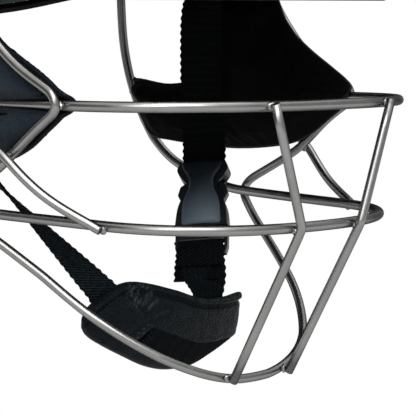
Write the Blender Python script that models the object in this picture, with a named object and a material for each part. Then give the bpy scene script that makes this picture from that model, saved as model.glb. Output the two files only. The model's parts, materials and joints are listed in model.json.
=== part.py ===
"""Helmet-type goalie mask: domed shell with a peak, bent-wire cage, padded ear flaps and a chin sling.

Metres, +Z up. The wearer faces -Y and the wearer's left is +X. The origin is midway between the ears.
"""

import math

import bmesh
import bpy
from mathutils import Matrix, Vector

# Clearances
GAP = 0.0003
RUN_GAP = 0.0006

# Shell: a dome over a rounded plan, with an arch over each ear
SHELL_HALF_WIDTH = 0.095
SHELL_HALF_LENGTH = 0.113
SHELL_TOP_Z = 0.155
SHELL_BASE_Z = 0.030
SHELL_WALL = 0.0035
SHELL_PLAN_POWER = 2.3
SHELL_DOME_POWER = 2.4
RIM_FRONT_Z = 0.050
RIM_EAR_Z = 0.0545
RIM_NAPE_Z = 0.0429
VENT_WIDTH = 0.007
VENT_LENGTH = 0.036
VENT_HEIGHT_ANGLE = 58.0
VENT_BEARINGS = (-38.0, 0.0, 38.0)
TRIM_OVERHANG = 0.0005

# Peak
PEAK_EDGE_Z = 0.0447
PEAK_EDGE_ROLL = 0.0013
PEAK_CORNER_RISE = 0.0013
PEAK_ROOT_Z = 0.064
PEAK_REACH = 0.145
PEAK_HALF_WIDTH = 0.104
PEAK_WALL = 0.0024
PEAK_END_BEARING = 59.0
PEAK_END_RISE = 0.0130
PEAK_FLANGE = 0.0095
PEAK_TRIM_D = 0.0024

# Liner and comfort pads inside the shell
LINER_THICKNESS = 0.012
LINER_SIDE_EDGE_Z = 0.080
LINER_FRONT_EDGE_Z = 0.070
COMFORT_PAD_THICKNESS = 0.007
COMFORT_PAD_SEAT = 0.0009
LINER_SEAT = 0.0009
CROWN_PAD_R = 0.034

# Cage wires
BAR_D = 0.0045
WIRE_D = 0.0040
WIRE_SIDES = 8
TEMPLE_Y = -0.074
UPPER_BAR_HALF_WIDTH = 0.0885
UPPER_BAR_REACH = 0.068
UPPER_BAR_POWER = 2.35
UPPER_BAR_Z = 0.0
LOWER_BAR_HALF_WIDTH = 0.0765
LOWER_BAR_REACH = 0.064
LOWER_BAR_POWER = 2.3
LOWER_BAR_Z = -0.0505
LOWER_BAR_FLARE = 0.10
LOWER_BAR_RISE = 0.022
UPRIGHT_TOP_X = 0.0365
UPRIGHT_MID_X = 0.0188
UPRIGHT_FOOT_X = 0.0179
UPRIGHT_OVERRUN = 0.0010
STRUT_SET = {1: Vector((0.0006, 0.0055, -0.0020)), -1: Vector((0.0002, -0.0004, 0.0014))}
CHIN_BAR_Y = -0.0985
CHIN_BAR_Z = -0.1200
REAR_LEG_TOP_Y = 0.070
REAR_LEG_X = UPPER_BAR_HALF_WIDTH - 0.0056
CORNER_BEND = 0.008
SOFT_BEND = 0.080
CLIP_BEND = 0.016

# Cage clips on the shell
CLIP_Z = 0.062
CLIP_FRONT_Y = -0.020
CLIP_WIDTH = 0.011
CLIP_WALL = 0.0012
CLIP_FOOT = 0.010
SCREW_SHANK_R = 0.0020
SCREW_HEAD_R = 0.0038
SCREW_HEAD_H = 0.0022
NUT_ACROSS = 0.0070
NUT_H = 0.0026
NUT_SEAT = 0.0013
NUT_POINTS = 12

# Ear flaps
EAR_PAD_INNER_X = UPPER_BAR_HALF_WIDTH - 0.0150
EAR_PAD_OUTER_X = UPPER_BAR_HALF_WIDTH + 0.0014
EAR_PAD_EDGE_X = UPPER_BAR_HALF_WIDTH + 0.0009
EAR_PAD_EDGE = 0.0016
EAR_PAD_TAIL_IN = 0.0092
EAR_PAD_TOP_Z = 0.052
EAR_PAD_GRID = 0.010

# Chin sling
STRAP_WIDTH = 0.021
STRAP_THICKNESS = 0.0016
STRAP_HANG_X = EAR_PAD_INNER_X - 0.0095
STRAP_FOLD_IN = 0.0098
STRAP_FOLD_RISE = 0.0055
STRAP_TURN = 30.0
STRAP_TWIST_TOP_Z = -0.0195
STRAP_TUCK = 0.008
STRAP_BEND = 0.012
STRAP_STEP = 0.006
STRAP_JAW = Vector((-0.0634, 0.0076, -0.0306))
STRAP_SEAT = 0.0012
STRAP_SET_BACK = 0.0062
STRAP_FOOT_SHARE = {1: 0.59, -1: -0.715}
RIVET_Z = 0.070
RIVET_Y = -0.0040
RIVET_SHANK_R = 0.0024
RIVET_HEAD_R = 0.0055
RIVET_HEAD_H = 0.0018
SLING_WALL_GAP = 0.0027
CUP_MID_X = 0.0040
CUP_HALF_WIDTH = 0.0505
CUP_Y = -0.0440
CUP_SWEEP = 0.0060
CUP_TURN_UNDER = 0.0070
CUP_THICKNESS = 0.0060
CUP_EDGE_SHARE = 0.66
CUP_TOP = ((-1.0, -0.0965), (-0.93, -0.0908), (-0.8, -0.0860), (-0.6, -0.0812), (-0.4, -0.0814),
           (0.0, -0.0866), (0.35, -0.0921), (0.7, -0.0938), (1.0, -0.0930))
CUP_BOTTOM = ((-1.0, -0.0985), (-0.93, -0.1035), (-0.8, -0.1080), (-0.55, -0.1145), (-0.25, -0.1212),
              (0.05, -0.1248), (0.35, -0.1245), (0.65, -0.1198), (1.0, -0.1132))
BAND_FOLD = -0.28
BAND_END = 0.90
BAND_THICKNESS = 0.0018

# Side-release buckle
BUCKLE_WIDTH = 0.0255
BUCKLE_THICKNESS = 0.0080
SOCKET_LENGTH = 0.034
SOCKET_WALL = 0.0016
SOCKET_WAIST = 0.0145
PLUG_BASE_LENGTH = 0.014
PRONG_LENGTH = 0.024
PRONG_WIDTH = 0.0030
BUCKLE_DROP = 0.012

SIDES = (("left", 1), ("right", -1))


def clear_scene():
    for old in list(bpy.data.objects):
        bpy.data.objects.remove(old, do_unlink=True)


def make_material(name, colour, roughness, metallic=0.0):
    material = bpy.data.materials.new(name)
    material.use_nodes = True
    shader = material.node_tree.nodes["Principled BSDF"]
    shader.inputs["Base Color"].default_value = (*colour, 1.0)
    shader.inputs["Roughness"].default_value = roughness
    shader.inputs["Metallic"].default_value = metallic
    return material


def add_object(name, data, material):
    thing = bpy.data.objects.new(name, data)
    bpy.context.scene.collection.objects.link(thing)
    if material is not None:
        data.materials.append(material)
    return thing


def mesh_object(name, bm, material, smooth_angle=35.0):
    """Closes a bmesh into a named object with outward faces."""
    bmesh.ops.recalc_face_normals(bm, faces=bm.faces)
    if bm.calc_volume(signed=True) < 0:
        bmesh.ops.reverse_faces(bm, faces=bm.faces)
    mesh = bpy.data.meshes.new(name)
    bm.to_mesh(mesh)
    bm.free()
    mesh.shade_smooth()
    mesh.set_sharp_from_angle(angle=math.radians(smooth_angle))
    return add_object(name, mesh, material)


def set_origin(thing, point):
    """Moves an object's origin to a point and leaves its shape where it was."""
    thing.data.transform(Matrix.Translation(-point))
    thing.location = point


def smoothstep(low, high, value):
    t = min(max((value - low) / (high - low), 0.0), 1.0)
    return t * t * (3.0 - 2.0 * t)


def power(value, exponent):
    """A signed power, for rounded plans."""
    return math.copysign(abs(value) ** exponent, value)


def patch_solid(name, front, back, material):
    """A closed solid between two grids of points with the same rows and columns."""
    bm = bmesh.new()
    rows = len(front)
    cols = len(front[0])
    sheets = [[[bm.verts.new(p) for p in row] for row in grid] for grid in (front, back)]
    for grid in sheets:
        for i in range(rows - 1):
            for j in range(cols - 1):
                bm.faces.new((grid[i][j], grid[i][j + 1], grid[i + 1][j + 1], grid[i + 1][j]))
    a, b = sheets
    edge = [(0, j) for j in range(cols)] + [(i, cols - 1) for i in range(1, rows)]
    edge += [(rows - 1, j) for j in range(cols - 2, -1, -1)] + [(i, 0) for i in range(rows - 2, 0, -1)]
    for (i, j), (k, m) in zip(edge, edge[1:] + edge[:1]):
        bm.faces.new((a[i][j], a[k][m], b[k][m], b[i][j]))
    return mesh_object(name, bm, material)


def loop_solid(name, rings, material):
    """A closed ring-shaped solid: each ring of points is bridged to the next, the last to the first."""
    bm = bmesh.new()
    loops = [[bm.verts.new(p) for p in ring] for ring in rings]
    for one, two in zip(loops, loops[1:] + loops[:1]):
        for k in range(len(one)):
            n = (k + 1) % len(one)
            bm.faces.new((one[k], one[n], two[n], two[k]))
    return mesh_object(name, bm, material)


def turned(name, profile, base, axis, material, steps=16):
    """A turned solid: (radius, height) pairs spun round an axis; a radius of 0 is a pole."""
    turn = Vector((0, 0, 1)).rotation_difference(axis).to_matrix()
    bm = bmesh.new()
    rings = []
    for radius, height in profile:
        count = 1 if radius == 0 else steps
        ring = []
        for k in range(count):
            angle = math.tau * k / steps
            spot = Vector((radius * math.cos(angle), radius * math.sin(angle), height))
            ring.append(bm.verts.new(base + turn @ spot))
        rings.append(ring)
    for low, high in zip(rings, rings[1:]):
        for k in range(steps):
            n = (k + 1) % steps
            corners = []
            for vert in (low[k % len(low)], low[n % len(low)], high[n % len(high)], high[k % len(high)]):
                if vert not in corners:
                    corners.append(vert)
            bm.faces.new(corners)
    return mesh_object(name, bm, material)


def prism(name, outline, place, low, high, material):
    """A flat outline, pushed through from low to high along the third axis of its place."""
    bm = bmesh.new()
    floor = bm.faces.new([bm.verts.new(place @ Vector((u, v, low))) for u, v in outline])
    grown = bmesh.ops.extrude_face_region(bm, geom=[floor])
    lift = place.to_3x3() @ Vector((0, 0, high - low))
    bmesh.ops.translate(bm, verts=[g for g in grown["geom"] if isinstance(g, bmesh.types.BMVert)], vec=lift)
    return mesh_object(name, bm, material)


def cut(thing, cutter):
    """Subtracts a hidden cutter."""
    cutter.hide_render = True
    cutter.display_type = "WIRE"
    boolean = thing.modifiers.new("cut_" + cutter.name, "BOOLEAN")
    boolean.operation = "DIFFERENCE"
    boolean.solver = "EXACT"
    boolean.object = cutter


def spline(points, steps):
    """Points on a smooth curve through the given ones."""
    points = [Vector(p) for p in points]
    ends = [2 * points[0] - points[1]] + points + [2 * points[-1] - points[-2]]
    path = []
    for p0, p1, p2, p3 in zip(ends, ends[1:], ends[2:], ends[3:]):
        for k in range(steps):
            t = k / steps
            path.append(0.5 * (2 * p1 + (p2 - p0) * t + (2 * p0 - 5 * p1 + 4 * p2 - p3) * t ** 2
                               + (3 * p1 - p0 - 3 * p2 + p3) * t ** 3))
    path.append(points[-1])
    return path


def bent_path(corners, turn_step=15.0):
    """A bent wire's path: (point, bend radius) corners, with an arc in place of each inner corner."""
    points = [Vector(p) for p, _ in corners]
    path = [points[0]]
    for k in range(1, len(points) - 1):
        to_last = points[k - 1] - points[k]
        to_next = points[k + 1] - points[k]
        turn = math.pi - to_last.angle(to_next)
        reach = min(corners[k][1] * math.tan(turn / 2), 0.49 * to_last.length, 0.49 * to_next.length)
        start = points[k] + to_last.normalized() * reach
        end = points[k] + to_next.normalized() * reach
        count = max(2, math.ceil(math.degrees(turn) / turn_step))
        for i in range(count + 1):
            t = i / count
            path.append(start * (1 - t) ** 2 + points[k] * 2 * t * (1 - t) + end * t ** 2)
    path.append(points[-1])
    return path


def wire(name, path, diameter, material):
    """A round wire with closed ends along a path."""
    curve = bpy.data.curves.new(name, "CURVE")
    curve.dimensions = "3D"
    curve.bevel_depth = diameter / 2
    curve.bevel_resolution = WIRE_SIDES // 4
    curve.use_fill_caps = True
    line = curve.splines.new("POLY")
    line.points.add(len(path) - 1)
    for point, place in zip(line.points, path):
        point.co = (*place, 1.0)
    return add_object(name, curve, material)


def mirror_x(point, side):
    return Vector((point[0] * side, point[1], point[2]))


# Shell surfaces

def dome_point(bearing, rise, inset=0.0):
    """A point of the shell: bearing from the front towards +X, rise from 0 at the base to 90 at the top."""
    east = power(math.sin(math.radians(bearing)), 2 / SHELL_PLAN_POWER)
    south = power(math.cos(math.radians(bearing)), 2 / SHELL_PLAN_POWER)
    spread = power(math.cos(math.radians(rise)), 2 / SHELL_DOME_POWER)
    lift = power(math.sin(math.radians(rise)), 2 / SHELL_DOME_POWER)
    return Vector(((SHELL_HALF_WIDTH - inset) * east * spread, -(SHELL_HALF_LENGTH - inset) * south * spread,
                   SHELL_BASE_Z + (SHELL_TOP_Z - SHELL_BASE_Z - inset) * lift))


def rise_at(z, inset=0.0):
    """The rise angle at which the dome has a height."""
    lift = (z - SHELL_BASE_Z) / (SHELL_TOP_Z - SHELL_BASE_Z - inset)
    return math.degrees(math.asin(min(lift, 1.0) ** (SHELL_DOME_POWER / 2)))


def bearing_at(y, z, inset=0.0):
    """The bearing of the dome's point on the +X side with a given y and z, found by halving."""
    low, high = 0.0, 180.0
    rise = rise_at(z, inset)
    for _ in range(40):
        mid = (low + high) / 2
        if dome_point(mid, rise, inset).y < y:
            low = mid
        else:
            high = mid
    return low


def dome_normal(bearing, rise):
    step = 0.5
    along = dome_point(bearing + step, rise) - dome_point(bearing - step, rise)
    up = dome_point(bearing, rise + step) - dome_point(bearing, rise - step)
    return along.cross(up).normalized()


def rim_z(place):
    """Height of the shell's lower edge: level at the brow, arched over the ears, low at the nape."""
    ear = smoothstep(-0.085, -0.065, place.y)
    nape = max((place.y - 0.080) / (SHELL_HALF_LENGTH - 0.080), 0.0) ** 1.3
    return RIM_FRONT_Z + (RIM_EAR_Z - RIM_FRONT_Z) * ear + (RIM_NAPE_Z - RIM_EAR_Z) * nape


def liner_edge_z(place):
    side = smoothstep(-0.075, -0.045, place.y)
    return LINER_FRONT_EDGE_Z + (LINER_SIDE_EDGE_Z - LINER_FRONT_EDGE_Z) * side


def dome_solid(name, edge, outer_inset, wall, material, bearings, rises):
    """A dome with a wall and a shaped lower edge."""
    bm = bmesh.new()
    skins = []
    for inset in (outer_inset, outer_inset + wall):
        skin = []
        for i in range(rises):
            ring = []
            for k in range(bearings):
                bearing = 360.0 * k / bearings
                low = rise_at(edge(dome_point(bearing, rise_at(RIM_FRONT_Z))), inset)
                ring.append(bm.verts.new(dome_point(bearing, low + (90.0 - low) * i / rises, inset)))
            skin.append(ring)
        pole = bm.verts.new(dome_point(0.0, 90.0, inset))
        for low, high in zip(skin, skin[1:]):
            for k in range(bearings):
                n = (k + 1) % bearings
                bm.faces.new((low[k], low[n], high[n], high[k]))
        for k in range(bearings):
            bm.faces.new((skin[-1][k], skin[-1][(k + 1) % bearings], pole))
        skins.append(skin[0])
    for k in range(bearings):
        n = (k + 1) % bearings
        bm.faces.new((skins[0][k], skins[0][n], skins[1][n], skins[1][k]))
    return mesh_object(name, bm, material)


def rod_cutter(name, rods):
    """One hidden mesh of separate round rods, each (start, end, radius)."""
    bm = bmesh.new()
    for start, end, radius in rods:
        axis = end - start
        turn = Vector((0, 0, 1)).rotation_difference(axis).to_matrix().to_4x4()
        place = Matrix.Translation((start + end) / 2) @ turn
        bmesh.ops.create_cone(bm, cap_ends=True, segments=16, radius1=radius, radius2=radius,
                              depth=axis.length, matrix=place)
    return mesh_object(name, bm, None)


def vent_cutter(bearing):
    """A rounded slot that goes right through the shell, pointing to the crown."""
    middle = dome_point(bearing, VENT_HEIGHT_ANGLE)
    out = dome_normal(bearing, VENT_HEIGHT_ANGLE)
    up = (dome_point(bearing, VENT_HEIGHT_ANGLE + 1) - middle).normalized()
    across = up.cross(out)
    place = Matrix((across, up, out)).transposed().to_4x4()
    place.translation = middle
    half = VENT_LENGTH / 2 - VENT_WIDTH / 2
    outline = []
    for centre, start in ((half, 0.0), (-half, 180.0)):
        for k in range(7):
            angle = math.radians(start + 30.0 * k)
            outline.append((VENT_WIDTH / 2 * math.cos(angle), centre + VENT_WIDTH / 2 * math.sin(angle)))
    return prism("vent_cutter", outline, place, -3 * SHELL_WALL, 3 * SHELL_WALL, None)


# Places shared by the cage, its clips and the shell's holes

def clip_site(y, side):
    """Where a cage leg is clipped to the shell: surface point, outward normal and the level tangent."""
    rise = rise_at(CLIP_Z)
    bearing = bearing_at(y, CLIP_Z)
    point = mirror_x(dome_point(bearing, rise), side)
    normal = mirror_x(dome_normal(bearing, rise), side)
    level = Vector((0, 0, 1)).cross(normal).normalized()
    return point, normal, level


def leg_standoff(diameter):
    """From the shell's face to the centre of a leg, clear of the edge trim."""
    return TRIM_OVERHANG + 2 * GAP + diameter / 2


def rivet_site(side):
    rise = rise_at(RIVET_Z)
    bearing = bearing_at(RIVET_Y, RIVET_Z)
    return mirror_x(dome_point(bearing, rise), side), mirror_x(dome_normal(bearing, rise), side)


def peak_outer(bearing):
    """A point of the peak's outer edge, which rises to its corners and sits a touch rolled."""
    angle = math.radians(bearing)
    rise = PEAK_EDGE_ROLL * math.sin(angle) + PEAK_CORNER_RISE * (bearing / PEAK_END_BEARING) ** 2
    return Vector((PEAK_HALF_WIDTH * math.sin(angle), -PEAK_REACH * math.cos(angle), PEAK_EDGE_Z + rise))


def peak_seat(bearing, up, lift):
    """A point of the peak's flange: up from its root line, lifted off the shell's face."""
    end = abs(bearing) / PEAK_END_BEARING
    z = PEAK_ROOT_Z + (PEAK_EDGE_Z + PEAK_END_RISE - PEAK_ROOT_Z) * end ** 2 + up
    rise = rise_at(z)
    return dome_point(bearing, rise) + dome_normal(bearing, rise) * lift


def peak_screw_site(side):
    bearing = PEAK_END_BEARING - 5.0
    rise = rise_at(peak_seat(bearing, PEAK_FLANGE / 2, 0.0).z)
    return mirror_x(dome_point(bearing, rise), side), mirror_x(dome_normal(bearing, rise), side)


# Shell, trims, liner and comfort pads

def build_shell(shell_paint, rubber, foam, lining):
    shell = dome_solid("outer_shell", rim_z, 0.0, SHELL_WALL, shell_paint, 64, 9)
    holes = []
    for _, side in SIDES:
        sites = [clip_screw_site(CLIP_FRONT_Y, side), clip_screw_site(REAR_LEG_TOP_Y, side)]
        sites.append(peak_screw_site(side))
        holes += [(p - n * 2 * SHELL_WALL, p + n * 2 * SHELL_WALL, SCREW_SHANK_R + GAP) for p, n in sites]
        point, normal = rivet_site(side)
        holes.append((point - normal * 2 * SHELL_WALL, point + normal * 2 * SHELL_WALL, RIVET_SHANK_R + GAP))
    cut(shell, rod_cutter("shell_hole_cutter", holes))
    for bearing in VENT_BEARINGS:
        for turn in (0.0, 180.0):
            cut(shell, vent_cutter(bearing + turn))
    build_edge_trim(rubber)
    build_peak(shell_paint, rubber)
    dome_solid("impact_liner", liner_edge_z, SHELL_WALL + LINER_SEAT, LINER_THICKNESS, foam, 48, 7)
    comfort_pad("brow_pad", 0.0, 42.0, LINER_FRONT_EDGE_Z + 0.001, 0.030, lining)
    comfort_pad("rear_pad", 180.0, 42.0, LINER_SIDE_EDGE_Z + 0.001, 0.030, lining)
    crown_pad(lining)


def build_edge_trim(rubber):
    """A round-backed rubber bead under the shell's lower edge."""
    radius = SHELL_WALL / 2 + TRIM_OVERHANG
    rings = []
    count = 72
    for k in range(count):
        bearing = 360.0 * k / count
        z = rim_z(dome_point(bearing, rise_at(RIM_FRONT_Z)))
        inner = dome_point(bearing, rise_at(z, SHELL_WALL), SHELL_WALL)
        middle = (dome_point(bearing, rise_at(z)) + inner) / 2
        middle.z = z - GAP - radius * 0.92
        out = dome_normal(bearing, 1.0)
        out.z = 0.0
        out.normalize()
        ring = []
        for i in range(6):
            angle = math.radians(60.0 * i)
            ring.append(middle + out * radius * math.cos(angle) + Vector((0, 0, radius * math.sin(angle))))
        rings.append(ring)
    loop_solid("shell_edge_trim", rings, rubber)


def build_peak(shell_paint, rubber):
    """A curved brow peak with a flange that lies on the shell, and a bead along its outer edge."""
    count = 28
    low = GAP + TRIM_OVERHANG
    high = low + PEAK_WALL
    top, under = [], []
    for k in range(count + 1):
        bearing = PEAK_END_BEARING * (2 * k / count - 1)
        steps = (PEAK_FLANGE, PEAK_FLANGE / 2, 0.0)
        seats = [[peak_seat(bearing, up, lift) for up in steps] for lift in (low, high)]
        outer = peak_outer(bearing)
        mid = seats[0][2] * 0.5 + outer * 0.5
        mid.z += 0.004 * (1 - (bearing / PEAK_END_BEARING) ** 2)
        lean = (Vector((outer.x, outer.y, 0)).normalized() + Vector((0, 0, 1))).normalized() * PEAK_WALL
        under.append(seats[0] + [mid, outer])
        top.append(seats[1] + [mid + lean, outer + lean])
    peak = patch_solid("peak", top, under, shell_paint)
    holes = []
    for _, side in SIDES:
        spot, out = peak_screw_site(side)
        holes.append((spot - out * PEAK_WALL, spot + out * 4 * PEAK_WALL, SCREW_SHANK_R + GAP))
    cut(peak, rod_cutter("peak_hole_cutter", holes))
    drop = Vector((0, 0, PEAK_TRIM_D / 2 + GAP + PEAK_WALL * 0.1))
    edge = [(a[-1] + b[-1]) / 2 - drop for a, b in zip(top, under)]
    wire("peak_edge_trim", edge, PEAK_TRIM_D, rubber)


def comfort_pad(name, centre, half_span, low_z, height, lining):
    """A curved comfort pad with a soft crown, seated on the liner's inner face."""
    base_inset = SHELL_WALL + LINER_SEAT + LINER_THICKNESS + COMFORT_PAD_SEAT
    cols, rows = 15, 6
    front, back = [], []
    for i in range(rows):
        v = i / (rows - 1)
        line, seat = [], []
        for k in range(cols):
            u = 2 * k / (cols - 1) - 1
            bearing = centre + half_span * u
            z = low_z + height * v
            crown = (1 - u ** 6) * (1 - (2 * v - 1) ** 4)
            deep = base_inset + COMFORT_PAD_THICKNESS * (0.35 + 0.65 * crown)
            seat.append(dome_point(bearing, rise_at(z, base_inset), base_inset))
            line.append(dome_point(bearing, rise_at(z, deep), deep))
        front.append(line)
        back.append(seat)
    patch_solid(name, front, back, lining)


def crown_pad(lining):
    """A round pad with a soft crown under the top of the liner."""
    inset = SHELL_WALL + LINER_SEAT + LINER_THICKNESS + COMFORT_PAD_SEAT
    outside, inside = [], []
    for share, thick in ((0.0, 1.0), (0.35, 0.98), (0.7, 0.88), (0.92, 0.65), (1.0, 0.4)):
        radius = CROWN_PAD_R * share
        rise = math.degrees(math.acos((radius / (SHELL_HALF_WIDTH - inset)) ** (SHELL_DOME_POWER / 2)))
        roof = dome_point(90.0, rise, inset).z
        outside.append((radius, roof))
        inside.append((radius, roof - COMFORT_PAD_THICKNESS * thick))
    turned("crown_pad", inside + outside[::-1], Vector((0, 0, 0)), Vector((0, 0, 1)), lining, 20)


# Cage

def bar_plan(x, half_width, reach, exponent):
    """Forward reach of a cross bar's front at a half-width x, behind which it runs back along the face."""
    return TEMPLE_Y - reach * (1 - min(abs(x) / half_width, 1.0) ** exponent) ** (1 / exponent)


def bar_front(half_width, reach, exponent, height):
    """Points round the front of a cross bar, from the right temple to the left."""
    count = 28
    points = []
    for k in range(count + 1):
        angle = math.pi * (k / count - 0.5)
        x = half_width * power(math.sin(angle), 2 / exponent)
        y = TEMPLE_Y - reach * power(math.cos(angle), 2 / exponent)
        points.append(Vector((x, y, height(y))))
    return points


def lower_bar_height(y):
    return LOWER_BAR_Z + LOWER_BAR_RISE * (y - TEMPLE_Y + LOWER_BAR_REACH)


def lower_bar_side(y):
    return LOWER_BAR_HALF_WIDTH + LOWER_BAR_FLARE * (y - TEMPLE_Y)


def lap(first, second):
    """Distance between the centre-lines of two wires lapped side by side."""
    return first / 2 + second / 2 + GAP


def rear_leg(side):
    """Corners of a rear leg, from the end of the lower bar's straight run up to its clip on the shell."""
    point, normal, level = clip_site(REAR_LEG_TOP_Y, side)
    top = point + normal * leg_standoff(BAR_D)
    down = normal.cross(level).normalized()
    if down.z > 0:
        down = -down
    base = mirror_x((lower_bar_side(-0.004), -0.004, lower_bar_height(-0.004)), side)
    low = mirror_x((REAR_LEG_X + 0.0006, 0.040, -0.0345), side)
    knee = mirror_x((REAR_LEG_X + 0.0001, 0.0600, -0.0115), side)
    shin = mirror_x((REAR_LEG_X - 0.0004, 0.0715, 0.0215), side)
    return [(base, SOFT_BEND), (low, SOFT_BEND), (knee, SOFT_BEND), (shin, SOFT_BEND),
            (top + down * CLIP_WIDTH, CLIP_BEND), (top - down * CLIP_WIDTH * 0.9, 0.0)]


def rim_side(side):
    """Corners of one side of the rim wire, from the chin up to its clip on the shell."""
    half = UPPER_BAR_HALF_WIDTH + lap(BAR_D, WIRE_D)
    heel = lower_bar_side(-0.006) + lap(BAR_D, WIRE_D)
    point, normal, level = clip_site(CLIP_FRONT_Y, side)
    top = point + normal * leg_standoff(WIRE_D)
    down = normal.cross(level).normalized()
    if down.z > 0:
        down = -down
    corners = [((UPRIGHT_FOOT_X, CHIN_BAR_Y + 0.0015, CHIN_BAR_Z + 0.0012), SOFT_BEND),
               ((0.0390, CHIN_BAR_Y + 0.0070, CHIN_BAR_Z + 0.0085), SOFT_BEND),
               ((0.0520, -0.0810, -0.1030), SOFT_BEND), ((0.0660, -0.0640, -0.0895), SOFT_BEND),
               ((0.0735, -0.0430, -0.0735), SOFT_BEND), ((0.0815, -0.0220, -0.0590), SOFT_BEND),
               ((heel + 0.0050, -0.0020, -0.0462), CORNER_BEND),
               ((half + 0.0015, -0.0420, -0.0262), SOFT_BEND),
               ((half - 0.0008, -0.0600, -0.0105), SOFT_BEND),
               ((half, TEMPLE_Y - 0.0046, UPPER_BAR_Z), CORNER_BEND * 0.75),
               ((half + 0.0010, -0.0450, 0.0215), SOFT_BEND)]
    placed = [(mirror_x(p, side), r) for p, r in corners]
    return placed + [(top + down * CLIP_WIDTH, CLIP_BEND), (top - down * CLIP_WIDTH * 0.9, 0.0)]


def build_cage(steel):
    upper = bar_front(UPPER_BAR_HALF_WIDTH, UPPER_BAR_REACH, UPPER_BAR_POWER, lambda y: UPPER_BAR_Z)
    ends = {}
    for _, side in SIDES:
        leg_at_bar = REAR_LEG_X + lap(BAR_D, WIRE_D) + GAP
        ends[side] = [mirror_x((UPPER_BAR_HALF_WIDTH, -0.02, UPPER_BAR_Z), side),
                      mirror_x((leg_at_bar, REAR_LEG_TOP_Y, UPPER_BAR_Z), side)]
    wire("upper_bar", ends[-1][::-1] + upper + ends[1], BAR_D, steel)

    lower = bar_front(LOWER_BAR_HALF_WIDTH, LOWER_BAR_REACH, LOWER_BAR_POWER, lower_bar_height)
    legs = {side: bent_path([(lower[0 if side < 0 else -1], 0.0)] + rear_leg(side))[1:] for _, side in SIDES}
    wire("lower_bar", legs[-1][::-1] + lower + legs[1], BAR_D, steel)

    chin = [((0.0, CHIN_BAR_Y, CHIN_BAR_Z), SOFT_BEND)]
    wire("rim_wire", bent_path(rim_side(-1)[::-1] + chin + rim_side(1)), WIRE_D, steel)

    for name, side in SIDES:
        wire("upright_" + name, upright_path(side), WIRE_D, steel)
        wire("side_strut_" + name, strut_path(side), WIRE_D, steel)


def upright_path(side):
    """An upright, lapped outside both cross bars and the chin run of the rim."""
    step = lap(BAR_D, WIRE_D) * 1.06
    top_y = bar_plan(UPRIGHT_TOP_X, UPPER_BAR_HALF_WIDTH, UPPER_BAR_REACH, UPPER_BAR_POWER) - step
    mid_y = bar_plan(UPRIGHT_MID_X, LOWER_BAR_HALF_WIDTH, LOWER_BAR_REACH, LOWER_BAR_POWER) - step
    foot = Vector((UPRIGHT_FOOT_X, CHIN_BAR_Y - lap(WIRE_D, WIRE_D) * 0.85, CHIN_BAR_Z + 0.0010))
    lean = (UPRIGHT_TOP_X - UPRIGHT_MID_X) / (UPPER_BAR_Z - LOWER_BAR_Z)
    corners = [((UPRIGHT_TOP_X + lean * UPRIGHT_OVERRUN, top_y, UPPER_BAR_Z + UPRIGHT_OVERRUN), 0.0),
               ((UPRIGHT_MID_X, mid_y, LOWER_BAR_Z), CORNER_BEND), (foot, 0.0)]
    return bent_path([(mirror_x(p, side), r) for p, r in corners])


def strut_path(side):
    """A side strut from outside the lower bar up to outside the rim's side leg, each with its own set."""
    half = UPPER_BAR_HALF_WIDTH + lap(BAR_D, WIRE_D)
    bar_y = -0.0835
    share = min((TEMPLE_Y - bar_y) / LOWER_BAR_REACH, 1.0) ** LOWER_BAR_POWER
    bar_x = LOWER_BAR_HALF_WIDTH * (1 - share) ** (1 / LOWER_BAR_POWER) + lap(BAR_D, WIRE_D)
    over = half + 0.0010 + lap(WIRE_D, WIRE_D)
    corners = [((bar_x - 0.0003, bar_y - 0.0030, LOWER_BAR_Z - 0.0001), 0.0),
               ((bar_x + 0.0010, bar_y, LOWER_BAR_Z + 0.0016), SOFT_BEND),
               (Vector((over - 0.0050, -0.0640, -0.0385)) + STRUT_SET[side], SOFT_BEND),
               (Vector((over, -0.0470, -0.0220)) + STRUT_SET[side], SOFT_BEND),
               (Vector((over + 0.0005, -0.0370, -0.0165)) + STRUT_SET[side], 0.0)]
    return bent_path([(mirror_x(p, side), r) for p, r in corners])


def clip_screw_site(y, side):
    """A clip's screw sits on its foot, in front of the leg."""
    point, normal, level = clip_site(y, side)
    forward = level if level.y < 0 else -level
    spot = point + forward * (WIRE_D / 2 + CLIP_WALL + CLIP_FOOT / 2)
    return spot, normal


def build_clips(steel, zinc):
    """A saddle clip, screw and nut for each of the cage's four legs."""
    for name, side in SIDES:
        for end, y in (("front", CLIP_FRONT_Y), ("rear", REAR_LEG_TOP_Y)):
            label = end + "_" + name
            point, normal, level = clip_site(y, side)
            forward = level if level.y < 0 else -level
            along = normal.cross(forward).normalized()
            place = Matrix((forward, normal, along)).transposed().to_4x4()
            place.translation = point
            diameter = WIRE_D if end == "front" else BAR_D
            saddle_clip("cage_clip_" + label, place, diameter, steel)
            spot, out = clip_screw_site(y, side)
            screw("cage_screw_" + label, spot + out * clip_foot_lift(), out, clip_foot_lift(), zinc)
            hex_nut("cage_nut_" + label, spot - out * (SHELL_WALL + NUT_SEAT), -out, zinc)


def clip_foot_lift():
    """Height of the top of a clip's foot over the shell's face at its screw."""
    return CLIP_WALL + 2 * GAP


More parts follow.
